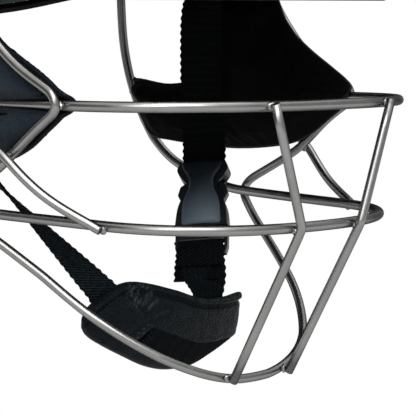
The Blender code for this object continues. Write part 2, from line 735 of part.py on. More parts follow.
def saddle_clip(name, place, diameter, steel):
    """A strip bent over the leg, with one foot flat on the shell."""
    inner = diameter / 2 + GAP
    outer = inner + CLIP_WALL
    centre = leg_standoff(diameter)
    low = 2 * GAP
    arc = [math.radians(180.0 * k / 8) for k in range(9)]
    outside = [(outer * math.cos(a), centre + outer * math.sin(a)) for a in arc]
    inside = [(inner * math.cos(a), centre + inner * math.sin(a)) for a in reversed(arc)]
    reach = outer + CLIP_FOOT
    outline = [(reach, low), (reach, low + CLIP_WALL), (outer, low + CLIP_WALL)] + outside
    outline += [(-outer, low), (-inner, low)] + inside + [(inner, low)]
    clip = prism(name, outline, place, -CLIP_WIDTH / 2, CLIP_WIDTH / 2, steel)
    hole_x = WIRE_D / 2 + CLIP_WALL + CLIP_FOOT / 2
    start = place @ Vector((hole_x, -CLIP_WALL * 2, 0))
    end = place @ Vector((hole_x, CLIP_WALL * 4, 0))
    cut(clip, rod_cutter(name + "_hole_cutter", [(start, end, SCREW_SHANK_R + GAP)]))


def screw(name, seat, out, above, metal):
    """A pan-head screw: head above its seat, shank through to the nut."""
    deep = above + SHELL_WALL + NUT_SEAT + NUT_H + GAP
    profile = [(0.0, -deep), (SCREW_SHANK_R, -deep), (SCREW_SHANK_R, GAP), (SCREW_HEAD_R, GAP),
               (SCREW_HEAD_R * 0.96, SCREW_HEAD_H * 0.6), (SCREW_HEAD_R * 0.6, SCREW_HEAD_H),
               (0.0, SCREW_HEAD_H * 1.08)]
    turned(name, profile, seat, out, metal, 14)


def hex_nut(name, seat, out, metal):
    """A plain hexagon nut with its bore, standing inwards from its seat."""
    turn = Vector((0, 0, 1)).rotation_difference(out).to_matrix()
    rings = []
    for radius, height in ((NUT_ACROSS / math.sqrt(3), 0.0), (NUT_ACROSS / math.sqrt(3), NUT_H),
                           (SCREW_SHANK_R + GAP, NUT_H), (SCREW_SHANK_R + GAP, 0.0)):
        ring = []
        for k in range(NUT_POINTS):
            angle = math.tau * k / NUT_POINTS
            flat = math.cos(math.pi / 6) / math.cos((angle + math.pi / 6) % (math.pi / 3) - math.pi / 6)
            size = radius * flat if radius > SCREW_SHANK_R + GAP else radius
            ring.append(seat + turn @ Vector((size * math.cos(angle), size * math.sin(angle), height)))
        rings.append(ring)
    loop_solid(name, rings, metal)


def build_peak_fasteners(zinc):
    for name, side in SIDES:
        spot, out = peak_screw_site(side)
        lift = PEAK_WALL + GAP + TRIM_OVERHANG
        screw("peak_screw_" + name, spot + out * lift, out, lift, zinc)
        hex_nut("peak_nut_" + name, spot - out * (SHELL_WALL + NUT_SEAT), -out, zinc)


# Ear flaps

def ear_pad_outline():
    """Side outline of the left ear flap as (y, z): temple tip, top under the shell, ear window, rear tab."""
    top = EAR_PAD_TOP_Z
    rear = 0.0580
    corners = [(-0.0770, 0.0030), (-0.0715, 0.0086), (-0.0610, 0.0148), (-0.0430, 0.0242), (-0.0330, 0.0345),
               (-0.0262, top - 0.005), (-0.0180, top), (0.0090, top), (0.0150, top - 0.005),
               (0.0160, 0.0240), (0.0210, 0.0090), (0.0340, 0.0045), (rear, 0.0070), (rear + 0.0005, 0.0020),
               (rear - 0.0080, -0.0200), (0.0360, -0.0245), (0.0, -0.0275), (-0.0350, -0.0248),
               (-0.0520, -0.0195), (-0.0640, -0.0118),
               (-0.0725, -0.0060), (-0.0768, -0.0015)]
    loop = spline([(*c, 0.0) for c in corners + corners[:1]], 3)
    return [(p.x, p.y) for p in loop[:-1]]


def outline_distance(outline, y, z):
    """Distance from a point to a closed outline."""
    best = 1.0
    for (y0, z0), (y1, z1) in zip(outline, outline[1:] + outline[:1]):
        run = Vector((y1 - y0, z1 - z0))
        to = Vector((y - y0, z - z0))
        t = min(max(to.dot(run) / max(run.length_squared, 1e-12), 0.0), 1.0)
        best = min(best, (to - run * t).length)
    return best


def build_ear_pad(name, side, vinyl):
    """A vinyl flap: full in the middle, drawn in at its edge, with a crease where the upper bar presses."""
    outline = ear_pad_outline()
    pressed = UPPER_BAR_HALF_WIDTH - BAR_D / 2 - GAP
    bm = bmesh.new()
    floor = bm.faces.new([bm.verts.new((0, y, z)) for y, z in outline])
    grown = bmesh.ops.extrude_face_region(bm, geom=[floor])
    moved = [g for g in grown["geom"] if isinstance(g, bmesh.types.BMVert)]
    bmesh.ops.translate(bm, verts=moved, vec=(1, 0, 0))
    cuts = [(Vector((0, EAR_PAD_GRID * k, 0)), Vector((0, 1, 0))) for k in range(-7, 6)]
    rows = (-4, -2.5, -1, -0.5, 0, 0.5, 1, 2.5, 4, 6.5, 9)
    cuts += [(Vector((0, 0, UPPER_BAR_Z + BAR_D * k)), Vector((0, 0, 1))) for k in rows]
    for point, normal in cuts:
        everything = bm.verts[:] + bm.edges[:] + bm.faces[:]
        bmesh.ops.bisect_plane(bm, geom=everything, plane_co=point, plane_no=normal, dist=1e-6)
    for vert in bm.verts:
        outer, y, z = vert.co
        full = 1 - math.exp(-outline_distance(outline, y, z) / EAR_PAD_GRID)
        free = smoothstep(0.0, BAR_D, abs(z - UPPER_BAR_Z)) ** 3
        edge = pressed + (EAR_PAD_EDGE_X - pressed) * free
        if outer > 0.5:
            vert.co.x = edge + (EAR_PAD_OUTER_X - EAR_PAD_EDGE_X) * full * free
        else:
            vert.co.x = edge - EAR_PAD_EDGE + (EAR_PAD_INNER_X - edge + EAR_PAD_EDGE) * full
        vert.co.x -= EAR_PAD_TAIL_IN * smoothstep(0.004, 0.050, y)
        vert.co.x *= side
    return mesh_object("ear_pad_" + name, bm, vinyl, 50.0)


# Chin sling

def strap_solid(name, path, bearings, webbing):
    """A flat strap along a path; bearings turn its width, in degrees from straight ahead towards +X."""
    front, back = [], []
    for k, point in enumerate(path):
        ahead = path[min(k + 1, len(path) - 1)] - path[max(k - 1, 0)]
        angle = math.radians(bearings[k])
        width = Vector((math.sin(angle), -math.cos(angle), 0.0))
        face = width.cross(ahead).normalized()
        width = ahead.cross(face).normalized()
        rows = [point + width * STRAP_WIDTH / 2 * u for u in (-1, 0, 1)]
        front.append([p + face * STRAP_THICKNESS / 2 for p in rows])
        back.append([p - face * STRAP_THICKNESS / 2 for p in rows])
    return patch_solid(name, front, back, webbing)


def strap_set_back(side):
    """How far behind its rivet a strap's middle lies."""
    return 0.0 if side > 0 else STRAP_SET_BACK


def strap_y(side, z):
    """How far back a strap hangs: straight down on the left, and in a line to the jaw on the right."""
    start = RIVET_Y + strap_set_back(side)
    aim = Vector((0.0, start, STRAP_JAW.z)) if side > 0 else STRAP_JAW
    return start + (aim.y - start) * (RIVET_Z - z) / (RIVET_Z - aim.z)


def strap_top(side):
    """The strap's riveted end on the shell's inner face and its fold over the ear flap."""
    point, normal = rivet_site(side)
    seat = point - normal * (SHELL_WALL + SLING_WALL_GAP + STRAP_THICKNESS / 2)
    back = Vector((0, 1, 0)) - normal * normal.y
    seat += back * strap_set_back(side)
    up = Vector((0, strap_y(side, RIVET_Z + 1.0) - strap_y(side, RIVET_Z), 1))
    up -= normal * normal.dot(up)
    up.normalize()
    high = EAR_PAD_TOP_Z + STRAP_FOLD_RISE
    wall = dome_point(bearing_at(RIVET_Y, high), rise_at(high)).x - SHELL_WALL
    fold = [(wall - STRAP_FOLD_IN, high), (STRAP_HANG_X + 0.0050, EAR_PAD_TOP_Z + 0.0010),
            (STRAP_HANG_X + 0.0003, EAR_PAD_TOP_Z - 0.0110)]
    flat = [seat + up * 0.0085, seat, seat - up * RIVET_HEAD_R, seat - up * (RIVET_HEAD_R + STRAP_THICKNESS)]
    return flat + [mirror_x((x, strap_y(side, z), z), side) for x, z in fold]


def hang_line():
    """Top and aim of the left strap's slanting run, from the jaw in towards the chin cup."""
    top = Vector((STRAP_HANG_X - 0.0010, RIVET_Y - 0.0030, -0.0240))
    return top, Vector((0.0320, -0.0344, -0.0915))


def strap_foot(side):
    """The strap's last run behind the chin cup: where it bends, its end and the bearing of its width."""
    share = STRAP_FOOT_SHARE[side]
    depth = CUP_THICKNESS / 2 + STRAP_SEAT + STRAP_THICKNESS / 2
    bend = cup_point(share, 0.06, depth)
    end = bend + Vector((-0.5 * side, 0.0, -0.85)) * STRAP_TUCK
    end.y = cup_point((end.x - CUP_MID_X) / CUP_HALF_WIDTH, 0.3, depth).y
    run = cup_point(share + 0.1 * side, 0.1, 0.0) - cup_point(share - 0.1 * side, 0.1, 0.0)
    return bend, end, math.degrees(math.atan2(run.x, -run.y))


def spread(path, step):
    """The same path with its long runs divided."""
    points = [path[0]]
    for last, point in zip(path, path[1:]):
        count = max(1, math.ceil((point - last).length / step))
        points += [last.lerp(point, k / count) for k in range(1, count + 1)]
    return points


def build_straps(webbing):
    """The whole right strap, and the two halves of the left one on each side of the buckle."""
    for name, side in SIDES:
        bend, end, foot_turn = strap_foot(side)
        hang = mirror_x((STRAP_HANG_X, strap_y(side, 0.0), 0.0), side)
        if side < 0:
            head = spline(strap_top(side) + [hang], 5)
            fall = [(hang, 0.0), (STRAP_JAW, STRAP_BEND), (bend, STRAP_BEND), (end, 0.0)]
            path = head + spread(bent_path(fall), STRAP_STEP)[1:]
            span = STRAP_TWIST_TOP_Z - bend.z - STRAP_TUCK / 2
            turns = [foot_turn * min(max((STRAP_TWIST_TOP_Z - p.z) / span, 0.0), 1.0) for p in path]
            strap = strap_solid("chin_strap_right", path, turns, webbing)
        else:
            frame = buckle_place()
            path = spline(strap_top(side) + [hang, hang_line()[0]], 5)[:-1]
            path.append(frame @ Vector((0, SOCKET_LENGTH - 0.002 + GAP, 0)))
            turns = [STRAP_TURN * (1 - smoothstep(0.035, 0.056, p.z)) for p in path]
            strap = strap_solid("chin_strap_left_upper", path, turns, webbing)
            start = frame @ Vector((0, -PLUG_BASE_LENGTH - GAP, 0))
            path = spread(bent_path([(start, 0.0), (bend, STRAP_BEND), (end, 0.0)]), STRAP_STEP / 2)
            turns = [foot_turn + (STRAP_TURN - foot_turn) * smoothstep(bend.z, start.z, p.z) for p in path]
            strap_solid("chin_strap_left_lower", path, turns, webbing)
        point, normal = rivet_site(side)
        hole = (point, point - normal * 0.012, RIVET_SHANK_R + RUN_GAP)
        cut(strap, rod_cutter("strap_hole_cutter_" + name, [hole]))


def build_rivets(zinc):
    """A rivet for each strap, with a collar that keeps the strap off the shell."""
    for name, side in SIDES:
        point, normal = rivet_site(side)
        inner = SHELL_WALL + LINER_SEAT
        collar = SHELL_WALL + SLING_WALL_GAP - GAP
        strap = collar + STRAP_THICKNESS + 2 * GAP
        profile = [(0.0, -strap - RIVET_HEAD_H), (RIVET_HEAD_R * 0.7, -strap - RIVET_HEAD_H),
                   (RIVET_HEAD_R, -strap - RIVET_HEAD_H * 0.4), (RIVET_HEAD_R, -strap),
                   (RIVET_SHANK_R, -strap), (RIVET_SHANK_R, -collar),
                   (RIVET_HEAD_R * 0.8, -collar), (RIVET_HEAD_R * 0.8, -inner),
                   (RIVET_SHANK_R, -inner), (RIVET_SHANK_R, GAP), (RIVET_HEAD_R, GAP),
                   (RIVET_HEAD_R * 0.75, GAP + RIVET_HEAD_H * 0.7), (0.0, GAP + RIVET_HEAD_H)]
        turned("strap_rivet_" + name, profile, point, normal, zinc, 16)


def curve_at(points, share):
    """Height at a share of a smooth curve through a few (share, height) points."""
    k = max(i for i in range(len(points) - 1) if points[i][0] <= share or i == 0)
    slopes = []
    for i in (k, k + 1):
        a, b = points[max(i - 1, 0)], points[min(i + 1, len(points) - 1)]
        slopes.append((b[1] - a[1]) / (b[0] - a[0]))
    run = points[k + 1][0] - points[k][0]
    t = (share - points[k][0]) / run
    return (points[k][1] * (1 + 2 * t) * (1 - t) ** 2 + points[k + 1][1] * t * t * (3 - 2 * t)
            + run * (slopes[0] * t * (1 - t) ** 2 - slopes[1] * t * t * (1 - t)))


def cup_point(u, v, depth):
    """A point of the chin cup: u from -1 (right end) to 1, v from 0 (top) to 1, depth from its middle."""
    top = curve_at(CUP_TOP, u)
    z = top + (curve_at(CUP_BOTTOM, u) - top) * v
    under = max((-0.092 - z) / 0.032, 0.0)
    y = CUP_Y + CUP_SWEEP * u * u + CUP_TURN_UNDER * under ** 2 + depth
    return Vector((CUP_MID_X + CUP_HALF_WIDTH * u, y, z))


def wing_edge(u):
    """Share of the cup's height at which the leather wing ends and the band begins."""
    return min(0.54 + 0.2 * u + 0.27 * u * u, 0.97)


def cup_row(u, row):
    """Share of the cup's height of a row of points: rows 0 to 4 on the wing, 5 to 9 below it."""
    edge = wing_edge(u)
    return edge * row / 4 if row < 5 else edge + (1 - edge) * (0.12 + 0.88 * (row - 5) / 4)


def build_cup(leather, fabric):
    """A padded cup for the chin and the fabric band let into its lower face."""
    shares = [-1.0, -0.97, -0.92, -0.84, -0.74, -0.62, -0.5, -0.38, BAND_FOLD - 0.03]
    banded = [BAND_FOLD + (BAND_END - BAND_FOLD) * k / 10 for k in range(11)]
    shares += banded + [BAND_END + 0.03, 1.0]
    faces, seats = {}, {}
    for u in shares:
        for row in range(10):
            v = cup_row(u, row)
            crown = (1 - u ** 8) * (1 - (2 * v - 1) ** 6)
            half = CUP_THICKNESS / 2 * (CUP_EDGE_SHARE + (1 - CUP_EDGE_SHARE) * crown)
            sunk = BAND_THICKNESS if u in banded and row >= 5 else 0.0
            faces[u, row] = cup_point(u, v, sunk - half)
            seats[u, row] = cup_point(u, v, half)
    grids = [[[grid[u, row] for u in shares] for row in range(10)] for grid in (faces, seats)]
    patch_solid("chin_cup", grids[0], grids[1], leather)
    lower = [[faces[u, row] - Vector((0, GAP, 0)) for u in banded] for row in range(5, 10)]
    proud = [[p - Vector((0, BAND_THICKNESS, 0)) for p in line] for line in lower]
    patch_solid("chin_band", proud, lower, fabric)


# Buckle

def buckle_place():
    """The buckle's place: X across, Y up the strap, Z out of its face, from where plug meets socket."""
    top, aim = hang_line()
    up = (top - aim).normalized()
    turn = math.radians(STRAP_TURN)
    across = Vector((math.sin(turn), -math.cos(turn), 0.0))
    face = across.cross(up).normalized()
    across = up.cross(face).normalized()
    place = Matrix((across, up, face)).transposed().to_4x4()
    place.translation = top - up * (BUCKLE_DROP + SOCKET_LENGTH)
    return place


def socket_outline():
    """Half of the socket's hourglass outline from the plug end up to the strap end, then mirrored."""
    half = BUCKLE_WIDTH / 2
    waist = SOCKET_WAIST / 2
    right = spline([(half, 0, 0), (half * 0.93, SOCKET_LENGTH * 0.26, 0),
                    (half * 0.80, SOCKET_LENGTH * 0.42, 0), (waist, SOCKET_LENGTH * 0.62, 0),
                    (half * 0.78, SOCKET_LENGTH * 0.74, 0),
                    (half * 0.98, SOCKET_LENGTH * 0.88, 0), (half * 0.88, SOCKET_LENGTH, 0)], 3)
    points = [(p.x, p.y) for p in right]
    return points + [(-x, y) for x, y in reversed(points)]


def box_cutter(name, place, low, high):
    bm = bmesh.new()
    centre = (Vector(low) + Vector(high)) / 2
    size = Vector(high) - Vector(low)
    scale = Matrix.Diagonal((*size, 1.0))
    bmesh.ops.create_cube(bm, size=1.0, matrix=place @ Matrix.Translation(centre) @ scale)
    return mesh_object(name, bm, None)


def build_buckle(plastic):
    place = buckle_place()
    half_t = BUCKLE_THICKNESS / 2
    socket = prism("buckle_socket", socket_outline(), place, -half_t, half_t, plastic)
    room = BUCKLE_WIDTH / 2 - SOCKET_WALL
    cavity_top = PRONG_LENGTH + 0.0020
    cut(socket, box_cutter("socket_cavity_cutter", place, (-room, -0.002, -half_t + SOCKET_WALL),
                           (room, cavity_top, half_t - SOCKET_WALL)))
    slot = STRAP_WIDTH / 2 + 2 * GAP
    cut(socket, box_cutter("socket_slot_cutter", place, (-slot, SOCKET_LENGTH - 0.0022, -STRAP_THICKNESS),
                           (slot, SOCKET_LENGTH + 0.004, STRAP_THICKNESS)))
    plug_half = BUCKLE_WIDTH / 2
    half_outline = [(0.0020, PRONG_LENGTH * 0.80), (0.0026, -GAP), (plug_half, -GAP),
                    (plug_half, -PLUG_BASE_LENGTH * 0.75), (plug_half * 0.92, -PLUG_BASE_LENGTH)]
    outline = half_outline + [(-x, y) for x, y in reversed(half_outline)]
    thick = half_t - SOCKET_WALL - GAP
    plug = prism("buckle_plug", outline, place, -thick, thick, plastic)
    slot_low = -PLUG_BASE_LENGTH * 0.72
    cut(plug, box_cutter("plug_slot_cutter", place, (-slot, slot_low, -half_t),
                         (slot, slot_low + 0.0045, half_t)))
    cut(plug, box_cutter("plug_strap_cutter", place, (-slot, -PLUG_BASE_LENGTH - 0.004, -STRAP_THICKNESS),
                         (slot, -PLUG_BASE_LENGTH + 0.0016, STRAP_THICKNESS)))
    for label, sign in (("front", 1), ("rear", -1)):
        outer = room - RUN_GAP
        button = BUCKLE_WIDTH / 2 - 0.0004
        arm = [(outer, GAP), (outer - 0.0002, PRONG_LENGTH * 0.42), (outer, PRONG_LENGTH * 0.58),
               (button, PRONG_LENGTH * 0.74), (button - 0.0012, PRONG_LENGTH * 0.92),
               (outer - 0.0022, PRONG_LENGTH), (outer - PRONG_WIDTH, PRONG_LENGTH * 0.93),
               (outer - PRONG_WIDTH, GAP)]
        arm = [(x * sign, y) for x, y in arm]
        prong = prism("buckle_prong_" + label, arm, place, -thick, thick, plastic)
        set_origin(prong, place @ Vector(((outer - PRONG_WIDTH / 2) * sign, GAP, 0)))


def build():
    clear_scene()
    shell_paint = make_material("shell_green", (0.012, 0.045, 0.030), 0.45)
    rubber = make_material("black_trim", (0.012, 0.012, 0.013), 0.6)
    foam = make_material("grey_foam", (0.09, 0.09, 0.10), 0.9)
    lining = make_material("black_lining", (0.018, 0.019, 0.021), 0.85)
    steel = make_material("steel_wire", (0.50, 0.47, 0.45), 0.34, 1.0)
    zinc = make_material("plated_fastener", (0.62, 0.62, 0.60), 0.32, 1.0)
    vinyl = make_material("navy_vinyl", (0.014, 0.019, 0.026), 0.5)
    webbing = make_material("black_webbing", (0.008, 0.009, 0.010), 0.8)
    leather = make_material("black_leather", (0.024, 0.032, 0.038), 0.55)
    fabric = make_material("black_fabric", (0.006, 0.007, 0.009), 0.85)
    plastic = make_material("black_plastic", (0.020, 0.024, 0.030), 0.38)
    build_shell(shell_paint, rubber, foam, lining)
    build_peak_fasteners(zinc)
    build_cage(steel)
    build_clips(steel, zinc)
    for name, side in SIDES:
        build_ear_pad(name, side, vinyl)
    build_straps(webbing)
    build_rivets(zinc)
    build_cup(leather, fabric)
    build_buckle(plastic)


build()
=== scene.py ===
# %% [markdown]
# # A helmet-type goalie mask
# A hard shell with a peak carries a cage of bent steel wire, two vinyl ear flaps and a chin sling of webbing.
# The measured solids come in as a fixed frame, and this file gives each of them its real surface.
# Everything is in metres. The wearer faces -Y, the wearer's left is +X, and the origin is between the ears.

# %% Load the frame
import json
import math

import bmesh
import bpy
from mathutils import Matrix, Vector, noise
from mathutils.bvhtree import BVHTree


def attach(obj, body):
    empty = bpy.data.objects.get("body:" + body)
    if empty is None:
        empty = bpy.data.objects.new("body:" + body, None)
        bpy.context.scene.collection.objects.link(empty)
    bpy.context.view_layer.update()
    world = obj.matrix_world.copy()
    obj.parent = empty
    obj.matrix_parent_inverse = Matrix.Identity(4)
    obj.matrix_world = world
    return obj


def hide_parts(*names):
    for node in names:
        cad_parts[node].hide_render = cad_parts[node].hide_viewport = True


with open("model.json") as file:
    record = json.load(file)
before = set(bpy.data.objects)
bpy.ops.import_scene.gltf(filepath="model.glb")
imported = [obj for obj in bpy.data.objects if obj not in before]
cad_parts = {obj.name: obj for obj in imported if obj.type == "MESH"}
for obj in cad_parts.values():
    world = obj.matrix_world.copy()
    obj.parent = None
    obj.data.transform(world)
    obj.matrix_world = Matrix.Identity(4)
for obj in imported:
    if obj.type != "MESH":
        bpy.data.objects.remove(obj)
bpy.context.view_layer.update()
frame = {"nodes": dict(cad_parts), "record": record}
RECORD = frame["record"]
BODY = {node: body for body, nodes in RECORD["behaviour"]["bodies"].items() for node in nodes}
SLOT = {row["node"]: row["material_slot"] for row in RECORD["subparts"]}

# %% [markdown]
# ## Camera and studio
# The photograph was taken from the wearer's right, slightly above the ears, with a long lens.
# The long lens keeps the near and far bars almost the same thickness.
# Metal needs something dark to reflect as well as something white, or its edges vanish on a white page.
# So dark screens stand behind the mask and at its sides, with a low grey strip in front of it.
# Only reflections show them.

# %% Camera
CAMERA_PLACE = Vector((-0.59611, -0.64562, 0.02647))
CAMERA_AZIMUTH = math.radians(-46.0)
CAMERA_RISE = math.radians(5.104)
CAMERA_LENS = 162.67


def heading(azimuth, rise):
    """The direction from the mask towards a viewer."""
    flat = math.cos(rise)
    return Vector((math.sin(azimuth) * flat, -math.cos(azimuth) * flat, math.sin(rise)))


lens = bpy.data.cameras.new("camera")
lens.lens = CAMERA_LENS
lens.sensor_width = 36.0
lens.clip_start = 0.01
camera = bpy.data.objects.new("camera", lens)
camera.location = CAMERA_PLACE
camera.rotation_mode = "QUATERNION"
camera.rotation_quaternion = heading(CAMERA_AZIMUTH, CAMERA_RISE).to_track_quat("Z", "Y")
bpy.context.scene.collection.objects.link(camera)
bpy.context.scene.camera = camera
bpy.context.scene.view_settings.view_transform = "Standard"
print("camera", [round(c, 3) for c in camera.location])


# %% Node helpers
def add_node(tree, kind, values=None, **settings):
    """Adds a shader node; values go to its inputs and settings to its properties."""
    made = tree.nodes.new(kind)
    for key, value in settings.items():
        setattr(made, key, value)
    for key, value in (values or {}).items():
        if isinstance(value, bpy.types.NodeSocket):
            tree.links.new(value, made.inputs[key])
        else:
            made.inputs[key].default_value = value
    return made


def math_node(tree, operation, first, second=0.0):
    return add_node(tree, "ShaderNodeMath", {0: first, 1: second}, operation=operation).outputs[0]


def blank_tree(block):
    block.use_nodes = True
    block.node_tree.nodes.clear()
    return block.node_tree


# %% World and floor
AMBIENT = 0.32
FLOOR_Z = -0.30
FLOOR_HALF = 4.0
FADE = (0.35, 0.72)


def seen_directly(tree):
    """1 for what the camera sees straight, in a mirror or through glass."""
    path = add_node(tree, "ShaderNodeLightPath").outputs
    mirror = math_node(tree, "MAXIMUM", path["Is Glossy Ray"], path["Is Transmission Ray"])
    return math_node(tree, "MAXIMUM", path["Is Camera Ray"], mirror)


world = bpy.data.worlds.new("white_studio")
bpy.context.scene.world = world
tree = blank_tree(world)
glow = add_node(tree, "ShaderNodeBackground", {"Color": (1, 1, 1, 1), "Strength": AMBIENT})
page = add_node(tree, "ShaderNodeBackground", {"Color": (1, 1, 1, 1), "Strength": 1.0})
pick = add_node(tree, "ShaderNodeMixShader", {0: seen_directly(tree), 1: glow.outputs[0], 2: page.outputs[0]})
add_node(tree, "ShaderNodeOutputWorld", {"Surface": pick.outputs[0]})

paper = bpy.data.materials.new("floor_paper")
tree = blank_tree(paper)
lit = add_node(tree, "ShaderNodeBsdfDiffuse", {"Color": (0.86, 0.86, 0.86, 1)})
page = add_node(tree, "ShaderNodeEmission", {"Color": (1, 1, 1, 1), "Strength": 1.0})
spot = add_node(tree, "ShaderNodeTexCoord").outputs["Object"]
level = add_node(tree, "ShaderNodeVectorMath", {0: spot, 1: (1, 1, 0)}, operation="MULTIPLY").outputs[0]
away = add_node(tree, "ShaderNodeVectorMath", {0: level}, operation="LENGTH").outputs["Value"]
fade = add_node(tree, "ShaderNodeMapRange", {"Value": away, "From Min": FADE[0], "From Max": FADE[1]},
                interpolation_type="SMOOTHSTEP").outputs[0]
share = math_node(tree, "MULTIPLY", fade, seen_directly(tree))
pick = add_node(tree, "ShaderNodeMixShader", {0: share, 1: lit.outputs[0], 2: page.outputs[0]})
add_node(tree, "ShaderNodeOutputMaterial", {"Surface": pick.outputs[0]})


def stage_object(name, bm, material):
    mesh = bpy.data.meshes.new(name)
    bm.to_mesh(mesh)
    bm.free()
    mesh.materials.append(material)
    thing = bpy.data.objects.new(name, mesh)
    bpy.context.scene.collection.objects.link(thing)
    return thing


bm = bmesh.new()
bmesh.ops.create_grid(bm, x_segments=1, y_segments=1, size=FLOOR_HALF,
                      matrix=Matrix.Translation((0, 0, FLOOR_Z)))
stage_object("floor", bm, paper)
print("floor at", FLOOR_Z)

# %% Lamps
LAMPS = (("key", heading(math.radians(-40), math.radians(46)), 1.5, 0.85, 13.0),
         ("front", heading(math.radians(-64), math.radians(26)), 1.6, 0.80, 6.0),
         ("top", heading(math.radians(60), math.radians(80)), 1.6, 1.0, 6.0))
for name, toward, distance, size, watts in LAMPS:
    lamp = bpy.data.lights.new(name, "AREA")
    lamp.energy = watts
    lamp.size = size
    holder = bpy.data.objects.new(name, lamp)
    holder.location = toward * distance
    holder.rotation_mode = "QUATERNION"
    holder.rotation_quaternion = toward.to_track_quat("Z", "Y")
    bpy.context.scene.collection.objects.link(holder)
print("lamps", [row[0] for row in LAMPS])

# %% Dark screens for the metal
SCREENS = (("back_screen", 150.0, 70.0, 1.9, -0.30, 2.60, 0.10),
           ("left_screen", -125.0, 70.0, 2.3, -0.30, 1.60, 0.16),
           ("right_screen", 43.0, 106.0, 2.3, -0.30, 1.60, 0.42),
           ("front_strip", -46.0, 70.0, 2.2, -0.20, 0.26, 0.40))


def ghost(thing):
    """Hides a screen from everything but reflections."""
    thing.visible_camera = False
    thing.visible_diffuse = False
    thing.visible_shadow = False
    thing.visible_transmission = False


def swept_screen(name, middle, spread, ends, shade):
    """A dark screen: a line between two (radius, height) ends, swept round the mask."""
    felt = bpy.data.materials.new(name)
    tree = blank_tree(felt)
    dull = add_node(tree, "ShaderNodeEmission", {"Color": (shade, shade, shade, 1), "Strength": 1.0})
    add_node(tree, "ShaderNodeOutputMaterial", {"Surface": dull.outputs[0]})
    bm = bmesh.new()
    start = heading(math.radians(middle - spread / 2), 0.0)
    posts = [bm.verts.new(start * radius + Vector((0, 0, z))) for radius, z in ends]
    edge = bm.edges.new(posts)
    bmesh.ops.spin(bm, geom=[*posts, edge], cent=(0, 0, 0), axis=(0, 0, 1), angle=math.radians(spread),
                   steps=24, use_merge=False)
    ghost(stage_object(name, bm, felt))


for name, middle, spread, radius, low, high, shade in SCREENS:
    swept_screen(name, middle, spread, ((radius, low), (radius, high)), shade)
print("screens", [row[0] for row in SCREENS])

# %% [markdown]
# ## Shared effects for the finishes
# Several finishes need the same three things: blotches that change tone or gloss, the pebbled grain of
# a hide, and a woven relief.
# Each effect is one node group with named inputs, so a finish only gives it its own scale and strength.


# %% Effect groups
def new_group(name, inputs, outputs):
    group = bpy.data.node_groups.new(name, "ShaderNodeTree")
    for label, kind in inputs:
        group.interface.new_socket(label, in_out="INPUT", socket_type=kind)
    for label, kind in outputs:
        group.interface.new_socket(label, in_out="OUTPUT", socket_type=kind)
    return group, add_node(group, "NodeGroupInput").outputs, add_node(group, "NodeGroupOutput")


VECTOR, NUMBER = "NodeSocketVector", "NodeSocketFloat"

BLOTCH_INPUTS = (("Vector", VECTOR), ("Scale", NUMBER), ("Detail", NUMBER), ("Low", NUMBER), ("High", NUMBER))
blotch_group, given, result = new_group("Blotches", BLOTCH_INPUTS, (("Value", NUMBER),))
cloud = add_node(blotch_group, "ShaderNodeTexNoise", {"Vector": given["Vector"], "Scale": given["Scale"],
                                                      "Detail": given["Detail"], "Roughness": 0.6})
ranged = add_node(blotch_group, "ShaderNodeMapRange", {"Value": cloud.outputs["Fac"], "From Min": 0.3,
                                                       "From Max": 0.7, "To Min": given["Low"],
                                                       "To Max": given["High"]})
blotch_group.links.new(ranged.outputs[0], result.inputs["Value"])

GRAIN_INPUTS = (("Vector", VECTOR), ("Scale", NUMBER))
grain_group, given, result = new_group("Hide Grain", GRAIN_INPUTS, (("Height", NUMBER),))
bent = add_node(grain_group, "ShaderNodeTexNoise", {"Vector": given["Vector"], "Scale": 60.0, "Detail": 2.0})
shift = add_node(grain_group, "ShaderNodeVectorMath", {0: bent.outputs["Color"], "Scale": 0.004},
                 operation="SCALE")
warped = add_node(grain_group, "ShaderNodeVectorMath", {0: given["Vector"], 1: shift.outputs[0]},
                  operation="ADD")
cells = add_node(grain_group, "ShaderNodeTexVoronoi", {"Vector": warped.outputs[0], "Scale": given["Scale"]},
                 feature="DISTANCE_TO_EDGE")
pebble = add_node(grain_group, "ShaderNodeMapRange", {"Value": cells.outputs["Distance"], "From Max": 0.28},
                  interpolation_type="SMOOTHSTEP")
grain_group.links.new(pebble.outputs[0], result.inputs["Height"])

WEAVE_INPUTS = (("Vector", VECTOR), ("Across", NUMBER), ("Along", NUMBER), ("Slant", NUMBER))
weave_group, given, result = new_group("Weave", WEAVE_INPUTS, (("Height", NUMBER),))
axes = add_node(weave_group, "ShaderNodeSeparateXYZ", {0: given["Vector"]}).outputs
turns = math_node(weave_group, "MULTIPLY", axes[0], given["Across"])
lean = math_node(weave_group, "MULTIPLY", axes[0], given["Slant"])
rise = math_node(weave_group, "MULTIPLY", math_node(weave_group, "ADD", axes[1], lean), given["Along"])
waves = [math_node(weave_group, "SINE", math_node(weave_group, "MULTIPLY", part, math.tau))
         for part in (turns, rise)]
mixed = math_node(weave_group, "ADD", math_node(weave_group, "MULTIPLY", waves[0], 0.35), waves[1])
weave_group.links.new(math_node(weave_group, "MULTIPLY", mixed, 0.5), result.inputs["Height"])
print("groups", [g.name for g in bpy.data.node_groups])

# %% [markdown]
# ## Finishes
# A finish is a Principled shader with its constant values on its own sockets.
# Only what changes over the surface comes in through nodes: blotchy gloss, grain and weave, and what a
# piece carries on its own points: painted shade on the ear flaps, pale streaks, stitches and painted
# crease highlights on the cup, a painted sheen on the straps and a painted highlight on the buckle plates.


# %% Finish helpers
def use_group(tree, group, values):
    """Adds an effect group with its inputs set; returns its outputs."""
    return add_node(tree, "ShaderNodeGroup", values, node_tree=group).outputs


def blotches(tree, spot, scale, detail, low=0.0, high=1.0):
    """A blotchy value between low and high."""
    return use_group(tree, blotch_group, {"Vector": spot, "Scale": scale, "Detail": detail,
                                          "Low": low, "High": high})["Value"]


def place_of(tree, uv=False):
    return add_node(tree, "ShaderNodeTexCoord").outputs["UV" if uv else "Object"]


